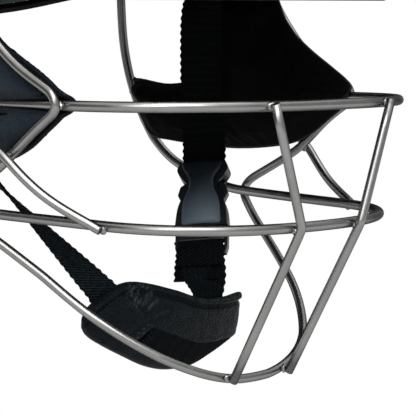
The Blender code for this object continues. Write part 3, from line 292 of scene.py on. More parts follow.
def two_tone(tree, mask, first, second):
    """Goes from one colour to another by a mask; each is three numbers or comes from other nodes."""
    ends = [end if isinstance(end, bpy.types.NodeSocket) else (*end, 1) for end in (first, second)]
    mixer = add_node(tree, "ShaderNodeMix", {"Factor": mask, 6: ends[0], 7: ends[1]}, data_type="RGBA")
    return mixer.outputs[2]


def carried(tree, name):
    """A value that a piece carries on its points."""
    return add_node(tree, "ShaderNodeAttribute", attribute_name=name).outputs["Fac"]


def finish_tree(name, metallic=0.0, specular=0.5, coat=0.0):
    """A material with a Principled shader; returns the material, its tree and the shader."""
    material = bpy.data.materials.new(name)
    tree = blank_tree(material)
    shader = add_node(tree, "ShaderNodeBsdfPrincipled", {"Metallic": metallic, "Specular IOR Level": specular,
                                                         "Coat Weight": coat})
    add_node(tree, "ShaderNodeOutputMaterial", {"Surface": shader.outputs[0]})
    return material, tree, shader


def feed(tree, shader, colour, gloss=None):
    """Joins a changing colour, and a changing roughness if there is one, to the shader."""
    tree.links.new(colour, shader.inputs["Base Color"])
    if gloss is not None:
        tree.links.new(gloss, shader.inputs["Roughness"])


def relief(tree, shader, height, depth):
    """Feeds a height in 0 to 1 to the shader's normal as a relief of a depth in metres."""
    bump = add_node(tree, "ShaderNodeBump", {"Height": height, "Distance": depth, "Strength": 1.0})
    tree.links.new(bump.outputs[0], shader.inputs["Normal"])


# %% Steel, plating and paint
def steel_finish():
    """Plain steel wire, darker at grazing angles."""
    material, tree, shader = finish_tree("steel_wire", metallic=1.0)
    shader.inputs["Specular Tint"].default_value = (0.14, 0.14, 0.15, 1)
    spot = place_of(tree)
    stain = blotches(tree, spot, 55.0, 5.0)
    feed(tree, shader, two_tone(tree, stain, (0.275, 0.272, 0.268), (0.335, 0.333, 0.328)),
         blotches(tree, spot, 110.0, 3.0, 0.26, 0.33))
    return material


def plated_finish():
    """Bright plating with a few dull spots."""
    material, tree, shader = finish_tree("plated_fastener", metallic=1.0)
    spot = place_of(tree)
    stain = blotches(tree, spot, 240.0, 4.0)
    feed(tree, shader, two_tone(tree, stain, (0.56, 0.56, 0.54), (0.68, 0.67, 0.64)),
         blotches(tree, spot, 800.0, 3.0, 0.22, 0.42))
    return material


def paint_finish():
    """Dark green paint under a thin clear coat, with a fine orange peel."""
    material, tree, shader = finish_tree("shell_green", coat=0.25)
    shader.inputs["Coat Roughness"].default_value = 0.18
    spot = place_of(tree)
    fade = blotches(tree, spot, 14.0, 6.0)
    feed(tree, shader, two_tone(tree, fade, (0.004, 0.030, 0.013), (0.006, 0.038, 0.017)),
         blotches(tree, spot, 90.0, 6.0, 0.30, 0.46))
    relief(tree, shader, blotches(tree, spot, 320.0, 1.0), 0.00006)
    return material


STEEL = steel_finish()
PLATED = plated_finish()
PAINT = paint_finish()
print("metal and paint", STEEL.name, PLATED.name, PAINT.name)


# %% Vinyl, leather and lining
def hide_finish(name, dark, pale, grain, gloss_range, depth, specular):
    """A grained hide: pebbles with paler tops, and gloss that changes in blotches."""
    material, tree, shader = finish_tree(name, specular=specular)
    spot = place_of(tree)
    pebbles = use_group(tree, grain_group, {"Vector": spot, "Scale": grain})["Height"]
    mask = math_node(tree, "MULTIPLY", pebbles, blotches(tree, spot, 70.0, 6.0))
    colour = two_tone(tree, mask, dark, pale)
    feed(tree, shader, colour, blotches(tree, spot, 160.0, 5.0, *gloss_range))
    relief(tree, shader, pebbles, depth)
    return material, tree, shader, colour


def vinyl_finish():
    """Navy vinyl, darkened to nearly black by painted shade that the piece carries on its points."""
    navy, pale_navy = (0.0130, 0.0195, 0.0290), (0.0220, 0.0320, 0.0460)
    hide = hide_finish("navy_vinyl", navy, pale_navy, 900.0, (0.28, 0.38), 0.00008, 0.08)
    material, tree, shader, colour = hide
    # Painted shade: the vinyl darkens towards near black where the piece carries it.
    feed(tree, shader, two_tone(tree, carried(tree, "painted_shade"), colour, (0.0012, 0.0020, 0.0030)))
    return material


def leather_finish():
    """Black leather, paler where the piece carries its own values: pale streaks, pale stitches and painted
    highlights along the creases.
    """
    black, grey = (0.0036, 0.0062, 0.0080), (0.0078, 0.0122, 0.0152)
    hide = hide_finish("black_leather", black, grey, 620.0, (0.32, 0.46), 0.00022, 0.07)
    material, tree, shader, colour = hide
    streak = math_node(tree, "MAXIMUM", blotches(tree, place_of(tree), 520.0, 6.0, 0.1, 1.2), 0.0)
    mask = math_node(tree, "MULTIPLY", carried(tree, "pale_and_highlight"), streak)
    feed(tree, shader, two_tone(tree, mask, colour, (0.115, 0.145, 0.165)))
    return material


def cloth_finish(name, dark, pale, across, along, slant, depth, uv):
    """Woven cloth: threads in relief with a painted highlight on their tops, and a paler painted sheen where
    the piece carries it on its points.
    """
    material, tree, shader = finish_tree(name, specular=0.06)
    shader.inputs["Roughness"].default_value = 0.85
    weave = {"Vector": place_of(tree, uv), "Across": across, "Along": along, "Slant": slant}
    threads = use_group(tree, weave_group, weave)["Height"]
    fuzz = blotches(tree, place_of(tree), 500.0, 4.0, 0.2, 1.0)
    # Painted highlight: the tops of the threads are paler.
    lit_thread = math_node(tree, "MULTIPLY", math_node(tree, "ADD", threads, 0.5), fuzz)
    painted_sheen = math_node(tree, "MULTIPLY", carried(tree, "painted_sheen"), lit_thread)
    feed(tree, shader, two_tone(tree, painted_sheen, two_tone(tree, lit_thread, dark, pale), (0.020, 0.031, 0.039)))
    relief(tree, shader, threads, depth)
    return material


VINYL = vinyl_finish()
LEATHER = leather_finish()
LINING = cloth_finish("black_lining", (0.0014, 0.0016, 0.0017), (0.0034, 0.0037, 0.0038),
                      700.0, 700.0, 0.0, 0.00005, False)
WEBBING = cloth_finish("black_webbing", (0.0008, 0.001, 0.001), (0.0046, 0.0056, 0.0062),
                       420.0, 620.0, 0.55, 0.00016, True)
FABRIC = cloth_finish("black_fabric", (0.0010, 0.0016, 0.0022), (0.0074, 0.0100, 0.0128),
                      150.0, 620.0, 0.8, 0.00016, True)
print("soft finishes", VINYL.name, LEATHER.name, LINING.name, WEBBING.name, FABRIC.name)


# %% Plastic, rubber and foam
def plastic_finish():
    """Moulded black plastic, greyed towards a painted highlight where the piece carries it on its points."""
    material, tree, shader = finish_tree("black_plastic", specular=0.28)
    spot = place_of(tree)
    colour = two_tone(tree, blotches(tree, spot, 130.0, 4.0), (0.007, 0.0095, 0.013), (0.011, 0.0145, 0.019))
    feed(tree, shader, two_tone(tree, carried(tree, "painted_highlight"), colour, (0.098, 0.130, 0.164)),
         blotches(tree, spot, 500.0, 4.0, 0.26, 0.38))
    relief(tree, shader, blotches(tree, spot, 1800.0, 2.0), 0.00002)
    return material


def rubber_finish():
    """Black rubber with a faint bloom."""
    material, tree, shader = finish_tree("black_trim", specular=0.12)
    spot = place_of(tree)
    bloom = blotches(tree, spot, 45.0, 6.0)
    feed(tree, shader, two_tone(tree, bloom, (0.0025, 0.0025, 0.003), (0.006, 0.006, 0.0065)),
         blotches(tree, spot, 300.0, 3.0, 0.48, 0.66))
    return material


def foam_finish():
    """Grey bead foam."""
    material, tree, shader = finish_tree("grey_foam", specular=0.2)
    shader.inputs["Roughness"].default_value = 0.92
    spot = place_of(tree)
    beads = use_group(tree, grain_group, {"Vector": spot, "Scale": 330.0})["Height"]
    mask = math_node(tree, "MULTIPLY", beads, blotches(tree, spot, 30.0, 5.0, 0.2, 1.0))
    feed(tree, shader, two_tone(tree, mask, (0.045, 0.045, 0.050), (0.105, 0.105, 0.115)))
    relief(tree, shader, beads, 0.00020)
    return material


PLASTIC = plastic_finish()
RUBBER = rubber_finish()
FOAM = foam_finish()
FINISH = {"shell_green": PAINT, "black_trim": RUBBER, "grey_foam": FOAM, "black_lining": LINING,
          "steel_wire": STEEL, "plated_fastener": PLATED, "navy_vinyl": VINYL, "black_webbing": WEBBING,
          "black_leather": LEATHER, "black_fabric": FABRIC, "black_plastic": PLASTIC}
print("finishes", len(FINISH))

# %% [markdown]
# ## Hard pieces
# The solids arrive as loose triangles, so each hard piece is a copy with its points merged.
# Shell, liner and trims only need smooth shading, and the shell's edge trim swells a little over the edge.
# The wires get a subdivision surface, because their eight-sided sections would show as facets, and the
# buckle and clips get a small rounded edge.


# %% Piece helpers
def merged(node):
    """A bmesh of a CAD node with its loose triangles joined."""
    bm = bmesh.new()
    bm.from_mesh(frame["nodes"][node].data)
    bmesh.ops.remove_doubles(bm, verts=bm.verts, dist=1e-6)
    return bm


def add_piece(name, bm, slot, body, fold):
    """Makes a bmesh a named piece with its finish, riding on a body; folds over an angle stay sharp."""
    mesh = bpy.data.meshes.new(name)
    bm.to_mesh(mesh)
    bm.free()
    mesh.shade_smooth()
    mesh.set_sharp_from_angle(angle=math.radians(fold))
    mesh.materials.append(FINISH[slot])
    thing = bpy.data.objects.new(name, mesh)
    bpy.context.scene.collection.objects.link(thing)
    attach(thing, body)
    return thing


def stand_in(name, bm, node, fold):
    """A piece that stands for a CAD node."""
    thing = add_piece(name, bm, SLOT[node], BODY[node], fold)
    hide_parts(node)
    return thing


def doubled(bm):
    """Gives an open grid a second side; returns that side's points."""
    grown = bmesh.ops.extrude_face_region(bm, geom=bm.faces[:], use_keep_orig=True)
    return {item for item in grown["geom"] if isinstance(item, bmesh.types.BMVert)}


def face_out(bm):
    """Turns the faces of a closed shape outward."""
    bmesh.ops.recalc_face_normals(bm, faces=bm.faces)
    if bm.calc_volume(signed=True) < 0:
        bmesh.ops.reverse_faces(bm, faces=bm.faces)


def subdivided(thing, levels):
    finer = thing.modifiers.new("finer", "SUBSURF")
    finer.levels = levels
    finer.render_levels = levels
    return thing


def rounded(thing, width, segments):
    edge = thing.modifiers.new("rounded", "BEVEL")
    edge.width = width
    edge.segments = segments
    edge.limit_method = "ANGLE"
    edge.angle_limit = math.radians(38.0)
    edge.harden_normals = True
    return thing


# %% Shell, peak, liner and trims
TRIM_SWELL = {"shell_edge_trim": 0.0004}


def swollen(bm, distance):
    """The same shape with its points moved out along their normals."""
    bm.normal_update()
    for vert, place in [(vert, vert.co + vert.normal * distance) for vert in bm.verts]:
        vert.co = place
    return bm


for node in ("outer_shell", "peak", "impact_liner", "shell_edge_trim", "peak_edge_trim"):
    stand_in(node + "_skin", swollen(merged(node), TRIM_SWELL.get(node, 0.0)), node, 32.0)
print("shell pieces done")


# %% Curve helpers
def smooth(low, high, value):
    """Goes gently from 0 at low to 1 at high."""
    share = min(max((value - low) / (high - low), 0.0), 1.0)
    return share * share * (3 - 2 * share)


def curve_at(points, share):
    """Height at a share of a smooth curve through a few (share, height) points."""
    k = max(i for i in range(len(points) - 1) if points[i][0] <= share or i == 0)
    slopes = []
    for i in (k, k + 1):
        a, b = points[max(i - 1, 0)], points[min(i + 1, len(points) - 1)]
        slopes.append((b[1] - a[1]) / (b[0] - a[0]))
    run = points[k + 1][0] - points[k][0]
    t = (share - points[k][0]) / run
    return (points[k][1] * (1 + 2 * t) * (1 - t) ** 2 + points[k + 1][1] * t * t * (3 - 2 * t)
            + run * (slopes[0] * t * (1 - t) ** 2 - slopes[1] * t * t * (1 - t)))


def hump(away, width):
    """1 at a line, falling to nearly 0 at twice a width from it."""
    return math.exp(-(away / width) ** 2)


print("half way", smooth(0.0, 1.0, 0.5), curve_at(((0.0, 0.0), (1.0, 2.0)), 0.5))

# %% Cage wires
WIRES = {"upper_bar": 0.0045, "lower_bar": 0.0045, "rim_wire": 0.0040, "upright_left": 0.0040,
         "upright_right": 0.0040, "side_strut_left": 0.0040, "side_strut_right": 0.0040}
OCTAGON_SHRINK = (2 + math.cos(math.pi / 4)) / 3
FLAT_JOIN, CUT_FOLD = math.radians(25), math.radians(60)
LEG_SET = ((-0.0800, 0.0), (-0.0707, 0.0010), (-0.0646, 0.0), (-0.0583, -0.0012), (-0.0521, -0.0021),
           (-0.0393, -0.0032), (-0.0300, -0.0055), (-0.0150, -0.0060))
LEG_SIDE_X, LEG_START_Z, LEG_CLIP_Z = 0.05, (0.0, 0.005), (0.046, 0.054)


def set_legs(bm):
    """The rim's upper legs sag a little on their way to the clips."""
    for vert in bm.verts:
        x, y, z = vert.co
        if z > 0.0 and abs(x) > LEG_SIDE_X and y > LEG_SET[0][0]:
            held = 1.0 - smooth(*LEG_CLIP_Z, z)
            vert.co.z += curve_at(LEG_SET, min(y, LEG_SET[-1][0])) * smooth(*LEG_START_Z, z) * held


def round_wire(node, diameter):
    """A smooth round wire: its octagon is pushed out first, because subdividing draws it in."""
    bm = merged(node)
    bmesh.ops.join_triangles(bm, faces=bm.faces, angle_face_threshold=FLAT_JOIN,
                             angle_shape_threshold=math.pi)
    crisp = bm.edges.layers.float.new("crease_edge")
    for edge in bm.edges:
        edge[crisp] = float(edge.calc_face_angle(0.0) > CUT_FOLD)
    swollen(bm, diameter / 2 * (1 / OCTAGON_SHRINK - 1))
    if node == "rim_wire":
        set_legs(bm)
    return subdivided(stand_in("wire_" + node, bm, node, 180.0), 2)


for node, diameter in WIRES.items():
    round_wire(node, diameter)
print("wires", len(WIRES))

# %% [markdown]
# ## Weld beads
# Where two wires lap they are welded: a small lumpy bead fills the groove between them.
# The place of a bead is measured: the spot where one wire comes nearest to the other.
# A bead starts as a ball of triangles, is flattened between the wires, and is then roughened with noise.

# %% Weld beads
LAPS = (("upper_bar", "upright_left"), ("upper_bar", "upright_right"), ("lower_bar", "upright_left"),
        ("lower_bar", "upright_right"), ("rim_wire", "upright_left"), ("rim_wire", "upright_right"),
        ("upper_bar", "rim_wire"), ("lower_bar", "rim_wire"), ("lower_bar", "side_strut_left"),
        ("lower_bar", "side_strut_right"), ("rim_wire", "side_strut_left"), ("rim_wire", "side_strut_right"),
        ("lower_bar", "upper_bar"))
BEAD_STEP = 0.001
BEAD_RADIUS = 0.0020
BEAD_THICKNESS = 0.0013
BEAD_REACH = 0.002
LUMPS = ((700.0, 0.22), (1900.0, 0.08))


def nearest_spot(tree, bm, side):
    """Where a wire comes nearest to another on one side: the two surface points."""
    best = None
    for edge in bm.edges:
        a, b = (vert.co for vert in edge.verts)
        count = max(1, math.ceil((b - a).length / BEAD_STEP))
        for k in range(count + 1):
            spot = a.lerp(b, k / count)
            if spot.x * side <= 0:
                continue
            other, _, _, distance = tree.find_nearest(spot)
            if best is None or distance < best[0]:
                best = (distance, spot.copy(), other)
    return best


def add_bead(bm, middle, across):
    """One lumpy bead, flat across the direction from wire to wire."""
    turn = across.to_track_quat("Z", "Y").to_matrix().to_4x4()
    size = Matrix.Diagonal((BEAD_RADIUS, BEAD_RADIUS, BEAD_THICKNESS, 1.0))
    made = bmesh.ops.create_icosphere(bm, subdivisions=3, radius=1.0,
                                      matrix=Matrix.Translation(middle) @ turn @ size)
    for vert in made["verts"]:
        lump = sum(noise.noise(vert.co * scale) * height for scale, height in LUMPS)
        vert.co = middle + (vert.co - middle) * (1.0 + lump)


bm = bmesh.new()
bead_count = 0
for first, second in LAPS:
    one, two = merged(first), merged(second)
    tree = BVHTree.FromBMesh(one)
    for side in (1, -1):
        found = nearest_spot(tree, two, side)
        if found and found[0] < BEAD_REACH:
            add_bead(bm, (found[1] + found[2]) / 2, (found[1] - found[2]).normalized())
            bead_count += 1
    one.free()
    two.free()
add_piece("cage_weld_beads", bm, "steel_wire", "helmet", 80.0)
print("weld beads", bead_count)

# %% Clips and fasteners
for node in frame["nodes"]:
    if node.startswith("cage_clip"):
        rounded(stand_in(node + "_bent", merged(node), node, 30.0), 0.0003, 2)
    elif node.startswith(("cage_screw", "cage_nut", "peak_screw", "peak_nut", "strap_rivet")):
        stand_in(node + "_turned", merged(node), node, 40.0)
print("fasteners done")

# %% [markdown]
# ## Webbing straps
# A strap is a flat woven band. Its two long edges are found on the solid: its faces are grouped by the
# folds between them, and the two long narrow groups are its sides. Where a strap folds sharply at its
# rivet, the flat end beyond the fold is added to those lines.
# A grid is then laid between them. Thick cords in the weave rib the band and scallop its edges.

# %% Strap helpers
STRAP_WIDTH = 0.021
STRAP_THICKNESS = 0.0016
RIB_PITCH = 0.0036
RIB_HEIGHT = 0.00014
SCALLOP = 0.00032
STRAP_COLUMNS = 10
STRAP_STEP = 0.0006
STRAP_END_AREA = STRAP_WIDTH * STRAP_THICKNESS
NARROW = 1.2 * STRAP_THICKNESS
ROW_STEPS = 200
EDGE_THIN = 0.35
END_SLACK, END_FACES, SIDE_FOLD = 0.03, 7, math.radians(60)


def faces_by_fold(bm, angle):
    """The faces in groups that meet at less than an angle, the largest group first."""
    left, groups = set(bm.faces), []
    while left:
        group, todo = set(), [left.pop()]
        while todo:
            face = todo.pop()
            group.add(face)
            for edge in face.edges:
                for other in edge.link_faces:
                    if other in left and edge.calc_face_angle(math.pi) < angle:
                        left.discard(other)
                        todo.append(other)
        groups.append(group)
    return sorted(groups, key=lambda group: -sum(face.calc_area() for face in group))


def open_lines(edges):
    """The points along each open line that some edges make, from its upper end."""
    near = {}
    for edge in edges:
        a, b = edge.verts
        near.setdefault(a, []).append(b)
        near.setdefault(b, []).append(a)
    ends = {vert for vert in near if len(near[vert]) == 1}
    lines = []
    while ends:
        walk = [max(ends, key=lambda vert: vert.co.z)]
        while onward := [vert for vert in near[walk[-1]] if vert not in walk]:
            walk.append(onward[0])
        ends -= {walk[0], walk[-1]}
        lines.append([vert.co.copy() for vert in walk])
    return lines


def along(row, share):
    """A point at a share of a row's length."""
    lengths = [(b - a).length for a, b in zip(row, row[1:])]
    goal = share * sum(lengths)
    for (a, b), length in zip(zip(row, row[1:]), lengths):
        if goal <= length:
            return a.lerp(b, goal / length)
        goal -= length
    return row[-1].copy()


def strap_rows(node):
    """The middle lines of a strap's two long narrow sides, from its top, with the flat end under a rivet."""
    bm = merged(node)
    groups = faces_by_fold(bm, SIDE_FOLD)
    areas = [sum(face.calc_area() for face in group) for group in groups]
    owner = {face: k for k, group in enumerate(groups) for face in group}
    rows, ends = [], []
    for k, group in enumerate(groups[2:], 2):
        border = [edge for edge in bm.edges if len({owner[face] for face in edge.link_faces} | {k}) == 2
                  and any(owner[face] == k for face in edge.link_faces)]
        width = 2 * areas[k] / sum(edge.calc_length() for edge in border)
        if abs(areas[k] / STRAP_END_AREA - 1) < END_SLACK and len(group) < END_FACES:
            ends.append([sum((vert.co for vert in edge.verts), Vector()) / 2 for edge in border
                         if edge.calc_length() < NARROW])
        elif width < NARROW and areas[k] > 1.2 * STRAP_END_AREA:
            lines = open_lines([edge for edge in border if any(owner[face] < 2 for face in edge.link_faces)])
            rows.append([sum((along(line, n / ROW_STEPS) for line in lines), Vector()) / len(lines)
                         for n in range(ROW_STEPS + 1)])
    top_end = max(ends, key=lambda points: points[0].z)
    for row in rows:
        tip = min(top_end, key=lambda point: (point - row[0]).length)
        if (tip - row[0]).length > 2 * STRAP_THICKNESS:
            row.insert(0, tip)
    bm.free()
    print(node, "sides", len(rows))
    return rows


def ribbed_band(rows, curl, painted_sheen):
    """A ribbed band between two rows of points, as a bmesh with its flat sizes as UVs, and its length."""
    length = sum((b - a).length for row in rows for a, b in zip(row, row[1:])) / 2
    count = math.ceil(length / STRAP_STEP)
    bm = bmesh.new()
    uv = bm.loops.layers.uv.new("UVMap")
    sheen_layer = bm.verts.layers.float.new("painted_sheen")
    bmesh.ops.create_grid(bm, x_segments=STRAP_COLUMNS, y_segments=count, size=0.5)
    for face in bm.faces:
        for loop in face.loops:
            loop[uv].uv = ((loop.vert.co.x + 0.5) * STRAP_WIDTH, (loop.vert.co.y + 0.5) * length)
    copies = doubled(bm)
    steps = [[along(row, k / count) for row in rows] for k in range(count + 1)]
    for vert in bm.verts:
        k = round((vert.co.y + 0.5) * count)
        left, right = steps[k]
        ahead = sum(steps[min(k + 2, count)], Vector()) - sum(steps[max(k - 2, 0)], Vector())
        width = right - left
        face = width.cross(ahead).normalized()
        wave = math.cos(math.tau * k / count * length / RIB_PITCH)
        side = vert.co.x * 2
        reach = abs(side)
        middle = (left + right) / 2
        place = middle + width * vert.co.x * curl(middle.z)
        place += width.normalized() * math.copysign(SCALLOP, side) * wave * reach ** 8
        thick = STRAP_THICKNESS * (1.0 - EDGE_THIN * reach ** 6) + 2 * RIB_HEIGHT * wave * (1.0 - reach ** 4)
        vert.co = place + face * thick * (-0.5 if vert in copies else 0.5)
        # Painted sheen: one value over the whole strap.
        vert[sheen_layer] = painted_sheen
    face_out(bm)
    return bm, length


# %% Straps
TURN_SHARE, TURN_RUN = 0.25, (-0.015, -0.050)
TUCK_SHARE, TUCK_Z, TUCK_WIDTH = 0.28, 0.031, 0.014


def twist_curl(z):
    """The share of its width that the right strap shows: less below, where it turns, and behind the flap."""
    return 1.0 - TURN_SHARE * smooth(*TURN_RUN, z) - TUCK_SHARE * hump(z - TUCK_Z, TUCK_WIDTH)


def flat(z):
    """A strap that shows its whole width."""
    return 1.0


# The last number of each strap is its painted sheen: more for a strap in more light.
STRAPS = (("webbing_right", "chin_strap_right", twist_curl, 1.0),
          ("webbing_left_upper", "chin_strap_left_upper", flat, 0.0),
          ("webbing_left_lower", "chin_strap_left_lower", flat, 0.6))
for name, node, curl, painted_sheen in STRAPS:
    bm, length = ribbed_band(strap_rows(node), curl, painted_sheen)
    stand_in(name, bm, node, 60.0)
    print(name, "length", round(length, 4))

# %% [markdown]
# ## Padded pieces
# The ear flaps and the comfort pads are foam in a sewn cover. A cover that is blown up a little
# by its foam is just what a cloth simulation with pressure gives, so each pad's solid is remeshed evenly
# and inflated for a few frames. No point may move further than a cap.

# %% Cushion helper
SWELL_FRAMES = 20


def baked(thing):
    """Replaces a piece's mesh by what its modifiers make of it."""
    graph = bpy.context.evaluated_depsgraph_get()
    mesh = bpy.data.meshes.new_from_object(thing.evaluated_get(graph))
    thing.modifiers.clear()
    thing.data = mesh


def cushion(name, node, voxel, pressure, cap, shrink=0.0, held=None):
    """A pad blown up from its solid; held(point) gives how firmly a point stays, from 0 to 1."""
    thing = stand_in(name, merged(node), node, 180.0)
    even = thing.modifiers.new("even", "REMESH")
    even.mode = "VOXEL"
    even.voxel_size = voxel
    baked(thing)
    start = [vert.co.copy() for vert in thing.data.vertices]
    group = thing.vertex_groups.new(name="held")
    for k, point in enumerate(start):
        group.add([k], held(point) if held else 0.0, "REPLACE")
    cover = thing.modifiers.new("cover", "CLOTH").settings
    cover.use_pressure = True
    cover.uniform_pressure_force = pressure
    cover.vertex_group_mass = "held"
    cover.effector_weights.gravity = 0.0
    cover.shrink_min = shrink
    for step in range(1, SWELL_FRAMES + 1):
        bpy.context.scene.frame_set(step)
    baked(thing)
    thing.vertex_groups.clear()
    bpy.context.scene.frame_set(1)
    for vert, point in zip(thing.data.vertices, start):
        move = vert.co - point
        if move.length > cap:
            vert.co = point + move.normalized() * cap
    thing.data.shade_smooth()
    print(name, "points", len(start))
    return thing


# %% Comfort pads
PAD_VOXEL, PAD_PRESSURE, PAD_CAP = 0.0030, 3.0, 0.0022
pads = [cushion(label + "_cushion", label + "_pad", PAD_VOXEL, PAD_PRESSURE, PAD_CAP)
        for label in ("brow", "rear", "crown")]
for pad in pads:
    subdivided(pad, 1)
print("pads", [pad.name for pad in pads])

# %% [markdown]
# ## Ear flaps
# Each flap is a vinyl-covered pad that hangs from the shell beside the ear. The upper bar of the cage
# presses a crease into its outer face, and its edge is bound.
# The flap is inflated like the other pads, while its edge and the crease under the bar stay put.
# The swelling on both sides of the bar, the small pulls at the edge and the creep of the front edge are
# moved in afterwards, point by point.

# %% Ear flap outline
SIDES = (("left", 1), ("right", -1))
EAR_EDGE_X = 0.0894
EAR_TAIL_IN = 0.0092
FLAP_CORNERS = ((-0.0770, 0.0030), (-0.0715, 0.0086), (-0.0610, 0.0148), (-0.0430, 0.0242), (-0.0330, 0.0345),
                (-0.0262, 0.047), (-0.0180, 0.052), (0.0090, 0.052), (0.0150, 0.047),
                (0.0160, 0.0240), (0.0210, 0.0090), (0.0340, 0.0045), (0.0580, 0.0070), (0.0585, 0.0020),
                (0.0500, -0.0200), (0.0360, -0.0245), (0.0, -0.0275), (-0.0350, -0.0248),
                (-0.0520, -0.0195), (-0.0640, -0.0118), (-0.0725, -0.0060), (-0.0768, -0.0015))
FLAP_FINE = 12
CREPT = ((0.0032, (-0.001, 0.003)), (0.0018, (0.026, 0.034)))
BELLY, BELLY_Z, BELLY_WIDTH = 0.0040, 0.0235, 0.008
DRAWN = ((0.0029, (0.003, 0.007)), (0.0030, (0.018, 0.030)))
DRAWN_TOP = (0.040, 0.051)


def closed_curve(corners, steps):
    """A smooth closed curve through its corners."""
    points, count = [], len(corners)
    for k in range(count):
        a, b, c, d = (Vector(corners[(k + i) % count]) for i in (-1, 0, 1, 2))
        for step in range(steps):
            t = step / steps
            points.append(0.5 * (2 * b + (c - a) * t + (2 * a - 5 * b + 4 * c - d) * t * t
                                 + (3 * b - a - 3 * c + d) * t ** 3))
    return points


FLAP = closed_curve(FLAP_CORNERS, FLAP_FINE)


def front_growth(side, y, z):
    """How far a flap's soft front edge has moved forward: the left one crept out, the right one drew back."""
    if y > 0.0:
        return 0.0
    if side > 0:
        crept = sum(size * smooth(*rise, z) for size, rise in CREPT)
        return crept + BELLY * hump(z - BELLY_Z, BELLY_WIDTH)
    drawn = sum(size * smooth(*rise, z) for size, rise in DRAWN)
    return -drawn * (1 - smooth(*DRAWN_TOP, z))


print("flap outline points", len(FLAP))


# %% Ear flaps
BAR_X, BAR_R = 0.0885, 0.00225
BAR_PRESS, BAR_GAP = 0.0045, 0.0003
TAIL_RUN = (0.004, 0.050)
LIP, LIP_RUN, LIP_SLOPE, LIP_PROUD = (0.0021, 0.0009), (-0.066, -0.034), (0.0006, 0.0005), 0.0004
SWELL_SHARE, SWELL_MOST, SWELL_END = 0.16, 0.0032, (0.72, 1.0)
SWELL_FRONT, SWELL_BACK = (-0.074, -0.062), (0.010, 0.032)
BOUND_RUN, CREASE_HALF, OUTER_X = (0.001, 0.006), 0.003, 0.083
RIM_SHADE_WIDTH, BAR_SHADE_WIDTH, EDGE_SHADE_REACH = 0.0055, 0.0040, 0.003
PULL_SCALE, PULL_SIZE, PULL_REACH = (90, 240), 0.0006, 0.008
DENT_SCALE, DENT_SIZE, DENT_REACH = (60, 90), 0.0009, 0.01
OUTER_DEPTH, SWELL_REACH, GROWTH_REACH = 0.004, 0.003, 0.02
RIM_CORNER_Y, RIM_ROOM_LEAST = -0.0786, 0.002
RIM_SLOPE = {1: 0.66, -1: 0.70}
FLAP_VOXEL, FLAP_PRESSURE, FLAP_CAP, FLAP_SHRINK = 0.0016, 4.0, 0.0012, -0.03
COVER_DEPTH = 0.0011


def edge_distance(y, z):
    """How far a place on the flap is from its outline."""
    return min(math.hypot(p.x - y, p.y - z) for p in FLAP[::3])


def flap_edge_x(y, z):
    """How far out the flap's edge lies: in under the bar, and in towards the tail."""
    free = smooth(0.0, BAR_PRESS, abs(z)) ** 3
    pressed = BAR_X - BAR_R - BAR_GAP
    return pressed + (EAR_EDGE_X - pressed) * free - EAR_TAIL_IN * smooth(*TAIL_RUN, y)


def flap_held(point):
    """The flap's bound edge and its crease under the bar stay put."""
    inward = edge_distance(point.y, point.z)
    crease = hump(point.z, CREASE_HALF) if abs(point.x) > OUTER_X else 0.0
    return max(1.0 - smooth(*BOUND_RUN, inward), crease)


def rim_room(y, z):
    """The height from the bar to the rim wire at a place along the flap."""
    return max((y - RIM_CORNER_Y) * RIM_SLOPE[1 if z > 0 else -1], RIM_ROOM_LEAST)


def flap_painted_shade(y, z, inward):
    """Painted shade: darkest under the rim wire, along the bar and at the bound edge."""
    past_rim = abs(z) - rim_room(y, z)
    return max(hump(past_rim, RIM_SHADE_WIDTH), hump(z, BAR_SHADE_WIDTH), math.exp(-inward / EDGE_SHADE_REACH))


def bar_lip(y, z):
    """How far out the cover swells between the bar and the rim wire, and how much of that a point takes."""
    lip = LIP[0] + (LIP[1] - LIP[0]) * smooth(*LIP_RUN, y)
    room = rim_room(y, z)
    share = min(abs(z) / room, 1.0)
    reach = BAR_X + math.sqrt(BAR_R ** 2 - lip ** 2) + LIP_PROUD
    reach += min(SWELL_SHARE * room, SWELL_MOST) * math.sin(math.pi * share)
    taken = smooth(lip - LIP_SLOPE[0], lip + LIP_SLOPE[1], abs(z)) * (1 - smooth(*SWELL_END, share))
    return reach, taken * smooth(*SWELL_FRONT, y) * (1 - smooth(*SWELL_BACK, y))


def flap_noise(y, z, scale, seed):
    """A smooth random value over the flap, from -1 to 1."""
    return noise.noise(Vector((y * scale[0], z * scale[1], seed)))


def shape_flap(thing, side):
    """Adds the swelling beside the bar, the pulls at the edge and the painted shade, and lines the inner
    face.
    """
    mesh = thing.data
    depths, painted_shade = [], []
    for vert in mesh.vertices:
        x, y, z = vert.co
        inward = edge_distance(y, z)
        depth = flap_edge_x(y, z) - abs(x)
        outer = 1.0 - smooth(0.0, OUTER_DEPTH, depth)
        reach, taken = bar_lip(y, z)
        swell = max(reach - abs(x), 0.0) * taken * (1.0 - math.exp(-inward / SWELL_REACH))
        pull = flap_noise(y, z, PULL_SCALE, 3.0) * math.exp(-inward / PULL_REACH) * PULL_SIZE
        dent = flap_noise(y, z, DENT_SCALE, side * 5.0) * DENT_SIZE * (1.0 - math.exp(-inward / DENT_REACH))
        vert.co.x += side * (outer * (swell + pull) + dent * (outer - (1.0 - outer)))
        vert.co.y -= front_growth(side, y, z) * math.exp(-inward / GROWTH_REACH)
        depths.append(depth)
        painted_shade.append(flap_painted_shade(y, z, inward))
    # Painted shade under the rim wire, along the bar and at the edge, kept on the points.
    mesh.attributes.new("painted_shade", "FLOAT", "POINT").data.foreach_set("value", painted_shade)
    mesh.materials.append(LINING)
    for face in mesh.polygons:
        face.material_index = int(sum(depths[k] for k in face.vertices) / len(face.vertices) > COVER_DEPTH)


